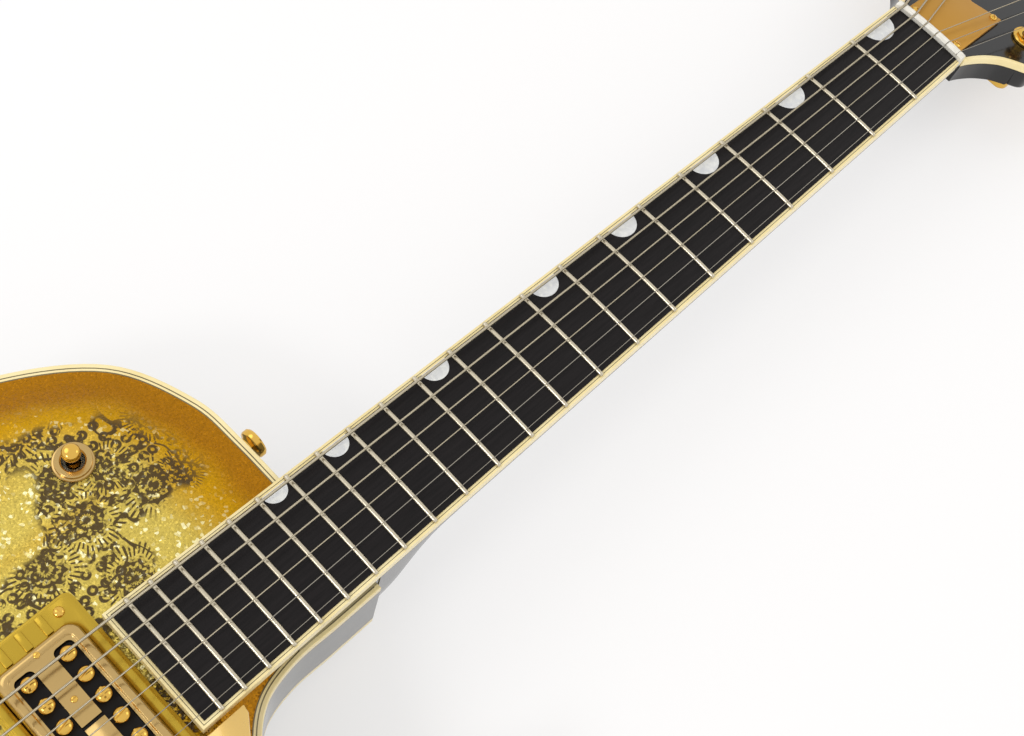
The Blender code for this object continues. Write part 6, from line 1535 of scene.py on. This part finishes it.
def makeVibratoFrame():
    low = topFlat + gap
    high = low + vibrato["thickness"]
    axis = rockerAxis
    tail = -body["tail"][0][0]
    shoulder = vibrato["earHalf"] + 0.004
    springX = axis.x + vibrato["springAhead"]
    offset = vibrato["springOffset"]
    wing = vibrato["cup"] + 0.0005
    archEnd = -body["tail"][1][0]
    cupArc = [(springX + wing * math.cos(math.radians(a)), offset + wing * math.sin(math.radians(a)))
              for a in range(90, -91, -15)]
    outline = [
        (archEnd - 0.004, vibrato["tailHalfWidth"] * 1.15), (axis.x - shoulder, vibrato["halfWidth"]),
        (axis.x + shoulder, vibrato["halfWidth"]), (axis.x + shoulder, offset + wing), *cupArc,
        (springX - wing, offset - wing), (axis.x - shoulder, -vibrato["halfWidth"]),
        (archEnd - 0.004, -vibrato["tailHalfWidth"] * 1.15)]
    base = soften(plate("vibratoBase", outline, low, high), 0.0006, 2)

    # strap: over the arch to the tail and down its edge
    half = vibrato["tailHalfWidth"]
    upper, lower = [(archEnd + 0.001, high)], [(archEnd + 0.001, low)]
    for i in range(11):
        share = 1 - i / 10
        x = archEnd + (tail + 0.0037 - archEnd) * (1 - share)
        level = body["topEdge"] + body["topArch"] * archRise(share) + gap * 2
        upper.append((x, level + vibrato["thickness"] * 0.8))
        lower.append((x, level))
    outside = tail - gap * 2
    edge = body["topEdge"]
    upper += [(outside - 0.0012, edge + 0.0022), (outside - 0.0020, edge + 0.0008),
              (outside - 0.0020, edge - 0.012)]
    lower += [(outside, edge + gap * 2), (outside, edge - 0.012)]
    section = upper + lower[::-1]
    strap = ringStack("tailStrap", [sideRing(section, y) for y in (-half, half)])
    carve(base, strap, how='UNION')

    # ears that hold the rocker, and the spring's cup
    inner, wide = vibrato["rockerHalf"] + gap * 2, vibrato["earHalf"]
    for side in (1, -1):
        profile = [(wide, low + 0.0005), (wide, axis.z)]
        for angle in range(15, 166, 15):
            turn = math.radians(angle)
            profile.append((wide * math.cos(turn), axis.z + wide * 0.75 * math.sin(turn)))
        profile += [(-wide, axis.z), (-wide, low + 0.0005)]
        ear = ringStack("vibratoEar", [sideRing(profile, side * y, axis.x)
                                       for y in (inner, inner + vibrato["ear"])])
        carve(base, soften(ear, 0.0006, 2, 50), how='UNION')
    radius, rim = vibrato["cup"], high + vibrato["cupHeight"]
    inside = radius - vibrato["cupWall"]
    cup = turned("springCup", ((radius, high - 0.001), (radius, rim - 0.0004), (radius - 0.0004, rim),
                               (inside, rim), (inside, high - 0.001)), 48, joined=True)
    carve(base, moved(cup, at(springX, offset)), how='UNION')
    radius = vibrato["trunnion"] + vibrato["boreGap"]
    bore = turned("rockerBore", ((radius, -0.060), (radius, 0.060)))
    carve(base, moved(bore, aimed((axis.x, 0, axis.z), (0, 1, 0))))
    finishedGold(base, bodyPlace, ["vibrato_frame"])


def makeVibratoMoving():
    axis = rockerAxis
    high = topFlat + gap + vibrato["thickness"]
    under = high + vibrato["bracketRise"]
    springX, offset = axis.x + vibrato["springAhead"], vibrato["springOffset"]
    half, thick = vibrato["rockerHalf"], vibrato["bracket"]
    thin, wide = vibrato["trunnion"], string["rocker"]
    rocker = turned("vibratoRocker", (
        (thin, offset - thick / 2 + 0.001), (thin, -half), (wide - 0.0005, -half), (wide, -half + 0.0005),
        (wide, half - 0.0005), (wide - 0.0005, half), (thin, half), (thin, half + vibrato["ear"] + gap)), 40)
    moved(rocker, Matrix.Translation(axis) @ Matrix.Rotation(-math.pi / 2, 4, 'X'))
    cheek = block("rockerCheek", (axis.x - 0.005, offset - thick / 2, axis.z - 0.005),
                  (axis.x + 0.006, offset + thick / 2, under + thick))
    wide = vibrato["bracketHalf"]
    reach = block("rockerBracket", (axis.x - 0.005, offset - wide, under),
                  (springX, offset + wide, under + thick))
    radius = vibrato["boss"]
    boss = turned("armBoss", ((radius, under - 0.0001), (radius, under + thick),
                              (radius - 0.0004, under + thick + 0.0004)), 40)
    moved(boss, at(springX, offset))
    for piece in (soften(cheek, 0.0008, 2), soften(reach, 0.0008, 2), boss):
        carve(rocker, piece, how='UNION')
    turn = math.radians(vibrato["pinTurn"])
    outward = Vector((-math.sin(turn), 0, math.cos(turn)))
    for number in range(6):
        foot = axis + outward * 0.003 + Vector((0, stringAtBridge(number)[0], 0))
        pin = turned("stringPin", vibrato["stringPin"], 14)
        carve(rocker, moved(pin, aimed(foot, outward)), how='UNION')
    radius = vibrato["pin"] + vibrato["boreGap"]
    bore = turned("armBore", ((radius, under - 0.002), (radius, under + thick + 0.003)))
    carve(rocker, moved(bore, at(springX, offset)))
    finishedGold(rocker, bodyPlace, ["vibrato_rocker"], "vibrato_rocker_body")

    # spring: a coil from the frame's cup up to the rocker's bracket
    start, end = high + gap + vibrato["wire"], under - gap * 2 - vibrato["wire"]
    steps = vibrato["turns"] * 24
    points = []
    for i in range(steps + 1):
        turn = 2 * math.pi * i / 24
        points.append(Vector((springX + vibrato["springRadius"] * math.cos(turn),
                              offset + vibrato["springRadius"] * math.sin(turn),
                              start + (end - start) * i / steps)))
    spring = finished(roundBar("vibratoSpring", points, vibrato["wire"], 10), bodyPlace, "guitar",
                      [finish["steel"]], ["vibrato_spring"], 60)
    foot = start - vibrato["wire"]
    travel = vibrato["springAhead"] + vibrato["springRadius"] + vibrato["wire"]
    travel *= math.sin(math.radians(vibrato["downTurn"]))
    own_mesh(spring)

    # arm: an eye on the boss and a bent rod
    eyeLow = under + thick + 0.0004 + gap
    profile = [(vibrato["pin"], -thick - 0.002), (vibrato["pin"], 0.0)]
    profile += [(vibrato["boss"] * r, vibrato["eye"] * z) for r, z in vibrato["eyeShape"]]
    arm = turned("vibratoArm", profile, 40)
    route = [Vector((x, y, z + vibrato["eye"] * 0.55)) for x, y, z in vibrato["route"]]
    rod = smoothCurve(route, 6)
    tip = rod[-1] - rod[-2]
    rod += [rod[-1] + tip.normalized() * 0.0008]
    radii = [vibrato["rod"]] * (len(rod) - 2) + [vibrato["rod"] * 0.85, vibrato["rod"] * 0.5]
    carve(arm, roundBar("armRod", rod, radii, 20), how='UNION')
    finishedGold(arm, bodyPlace @ at(springX, offset, eyeLow), ["vibrato_arm"], "vibrato_arm_body")


makeVibratoFrame()
makeVibratoMoving()
print("vibrato done")


# Pickguard

guard = {
    "lift": 0.0046, "thickness": 0.0024, "post": 0.0035, "pickupGap": 0.0012, "inner": -0.0300,
    "front": (
        (0.4590, -0.0300), (0.4597, -0.0335), (0.4645, -0.0402), (0.4720, -0.0520), (0.4790, -0.0680),
        (0.4900, -0.0830), (0.5080, -0.0930), (0.5350, -0.0950), (0.5650, -0.0880), (0.6000, -0.0770),
        (0.6340, -0.0690)),
    "rear": ((0.6340, -0.0540), (0.6340, -0.0490)),
    "screws": ((0.540, -0.084), (0.622, -0.062)), "screw": (0.0026, 0.0012),
}


def makeGuard():
    gapX = pickup["bezelWidth"] / 2 + guard["pickupGap"]
    gapY = -pickup["bezelLength"] / 2 - guard["pickupGap"]
    bridgeAt, neckAt = pickup["bridgeAt"], pickup["neckAt"]
    inner = [(bridgeAt + gapX, gapY), (bridgeAt - gapX, gapY), (bridgeAt - gapX, guard["inner"]),
             (neckAt + gapX, guard["inner"]), (neckAt + gapX, gapY), (neckAt - gapX, gapY),
             (neckAt - gapX, guard["inner"])]
    curve = [(p.x, p.y) for p in smoothCurve(guard["front"][2:], 5)]
    outline = [*guard["front"][:2], *curve, guard["rear"][0], *inner]
    low = topFlat + guard["lift"]
    high = low + guard["thickness"]
    sheet = plate("guardSheet", [(alongBody(x), y) for x, y in outline], low, high)
    soften(sheet, 0.0005, 2, 35)
    spots = [(alongBody(x), y) for x, y in guard["screws"]]
    for spot in spots:
        post = turned("guardPost", ((guard["post"], topFlat + touch), (guard["post"], low + 0.001)))
        carve(sheet, moved(post, at(*spot)), how='UNION')
    finished(sheet, bodyPlace, "guitar", [finish["guard"]], ["pickguard"])
    screwGroup("guardScrews", slottedScrew("guardScrew", *guard["screw"]),
               [at(*spot, high - sunk) for spot in spots], bodyPlace)


# Knobs with a knurled side, the pickup switch, the jack and the strap buttons

knob = {
    "radius": 0.0098, "height": 0.0150, "shaft": 0.0029, "count": 80, "knurl": 0.018,
    # shares of the radius, the height and the knurl
    "shape": ((0.98, 0.0, 0), (1.0, 0.02, 0), (1.0, 0.13, 0), (0.97, 0.17, 0), (0.90, 0.21, 0),
              (0.90, 0.25, 1), (0.87, 0.86, 1), (0.86, 0.89, 0), (0.83, 0.95, 0), (0.76, 0.985, 0),
              (0.60, 1.0, 0), (0.56, 0.985, 0), (0.20, 0.992, 0)),
    # radius, height over the top
    "washer": ((0.0062, 0.00003), (0.0062, 0.0005), (0.0060, 0.0006), (0.0046, 0.0006),
               (0.0046, 0.00003)),
}


def makeKnobs():
    r, h, count = knob["radius"], knob["height"], knob["count"]
    for name, (x, y) in knobPlaces.items():
        surface = topLevel(x, y)
        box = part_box(name)
        foot = box[1].z - h
        rings = [ringOf(knob["shaft"], level, count) for level in (box[0].z - foot, 0.0)]
        for a, b, share in knob["shape"]:
            ring = ringOf(a * r, b * h, count)
            for point in ring[1::2]:
                point.xy *= 1 - knob["knurl"] * share
            rings.append(ring)
        made = ringStack(name.replace("_", " ").title().replace(" ", ""), rings)
        carve(made, block("pointerLine", (r * 0.60, -0.0004, h * 0.80), (r * 1.2, 0.0004, h * 1.1)))
        finishedGold(made, bodyPlace @ at(x, y, foot), [name], name + "_body")
        profile = [(radius, surface + rise) for radius, rise in knob["washer"]]
        washer = moved(turned("potWasher", profile, 40, joined=True), at(x, y))
        finishedGold(washer, bodyPlace).name = "washer_" + name


switch = {
    "box": (0.008, 0.013, 0.022), "belowTop": 0.0035, "neck": 0.0059, "well": 0.0046, "wellDepth": 0.008,
    # radius, height over the top
    "collar": ((0.0083, gap), (0.0083, 0.0008), (0.0080, 0.0012), (0.0074, 0.0013), (0.0072, 0.0024),
               (0.0068, 0.0027)),
    "lever": ((0.0016, -0.006), (0.0022, -0.0015), (0.0030, 0.0), (0.0027, 0.0010), (0.0019, 0.0018),
              (0.0016, 0.0040), (0.0022, 0.0052), (0.0029, 0.0065), (0.0034, 0.0080), (0.0037, 0.0095),
              (0.0036, 0.0108), (0.0030, 0.0119), (0.0018, 0.0125)),
}


def makeSwitch():
    x, y = controls["toggle"]
    surface = topLevel(x, y)
    high = surface - body["plate"] - switch["belowTop"]
    halfX, halfY, tall = switch["box"]
    case = soften(block("switchCase", (-halfX, -halfY, high - tall), (halfX, halfY, high)), 0.0008, 2)
    profile = [(switch["neck"], high - 0.001), (switch["neck"], surface + gap)]
    profile += [(radius, surface + rise) for radius, rise in switch["collar"]]
    carve(case, turned("switchCollar", profile, 48), how='UNION')
    radius, deep = switch["well"], switch["wellDepth"]
    well = turned("switchWell", ((radius, high - deep), (radius, surface + 0.0020),
                                 (radius + 0.0008, surface + 0.0030)), 48)
    carve(case, well)
    place = bodyPlace @ at(x, y)
    finished(case, place, "guitar", [finish["cover"], finish["steel"]], ["toggle_switch"])
    inverse = place.inverted()
    for face in case.data.polygons:
        spots = [inverse @ case.data.vertices[i].co for i in face.vertices]
        inWell = all(math.hypot(p.x, p.y) < radius + 0.0004 and p.z > high - deep - 0.001 for p in spots)
        face.material_index = 1 if inWell else 0
    lever = turned("switchLever", switch["lever"], 36)
    finishedGold(lever, place @ at(0, 0, surface), ["toggle_lever"], "toggle_lever_body", 60)


# Profiles are (radius, distance out from the side)
strapButton = {
    "height": 0.0100,
    "shape": ((0.0014, -0.020), (0.0014, 0.0), (0.0058, 0.0), (0.0060, 0.0014), (0.0058, 0.0022),
              (0.0048, 0.0027), (0.0043, 0.0036), (0.0043, 0.0052), (0.0049, 0.0060), (0.0062, 0.0065),
              (0.0066, 0.0072), (0.0066, 0.0092), (0.0060, 0.0100)),
    "recess": ((0.0030, 0.0094), (0.0032, 0.0102)),
    "head": ((0.0026, 0.0090), (0.0026, 0.0096), (0.0020, 0.0099)),
    "crossLong": 0.0016, "crossWide": 0.0003,
}
jackShape = (
    (0.0052, -0.0296), (0.0052, -0.0030), (0.0098, -0.0030), (0.0098, -0.0016), (0.0094, -0.0012),
    (0.0067, -0.0011), (0.0065, -0.0001), (0.0062, 0.0), (0.0036, 0.0), (0.00325, -0.0004),
    (0.00325, -0.0296),
)


def makeSideHardware():
    for node in ("strap_button_front", "strap_button_tail"):
        low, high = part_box(node)
        middle = (low + high) / 2
        sign = 1 if node.endswith("front") else -1
        reach = high.x if sign > 0 else low.x
        foot = Vector((reach - sign * strapButton["height"], middle.y, middle.z))
        made = turned("strapButton" + node.split("_")[-1].title(), strapButton["shape"], 40)
        carve(made, turned("screwRecess", strapButton["recess"], 32))
        head = turned("screwHead", strapButton["head"], 32)
        long, wide = strapButton["crossLong"], strapButton["crossWide"]
        for x, y in ((wide, long), (long, wide)):
            carve(head, block("screwCross", (-x, -y, 0.0093), (x, y, 0.0104)))
        carve(made, head, how='UNION')
        finishedGold(made, aimed(foot, (sign, 0, 0)), [node])
    low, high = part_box("output_jack")
    middle = (low + high) / 2
    jack = turned("outputJack", jackShape, 48, joined=True)
    finishedGold(jack, aimed((middle.x, low.y, middle.z), (0, -1, 0)), ["output_jack"])


makeGuard()
makeKnobs()
makeSwitch()
makeSideHardware()
print("controls and side hardware done")

# CAD nodes that stay as they are, inside the body and the neck
for node, kind in (("neck_block", "maple"), ("tail_block", "maple"), ("truss_rod", "steel"),
                   ("control_harness", "steel")):
    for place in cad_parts[node].material_slots:
        place.material = finish[kind]
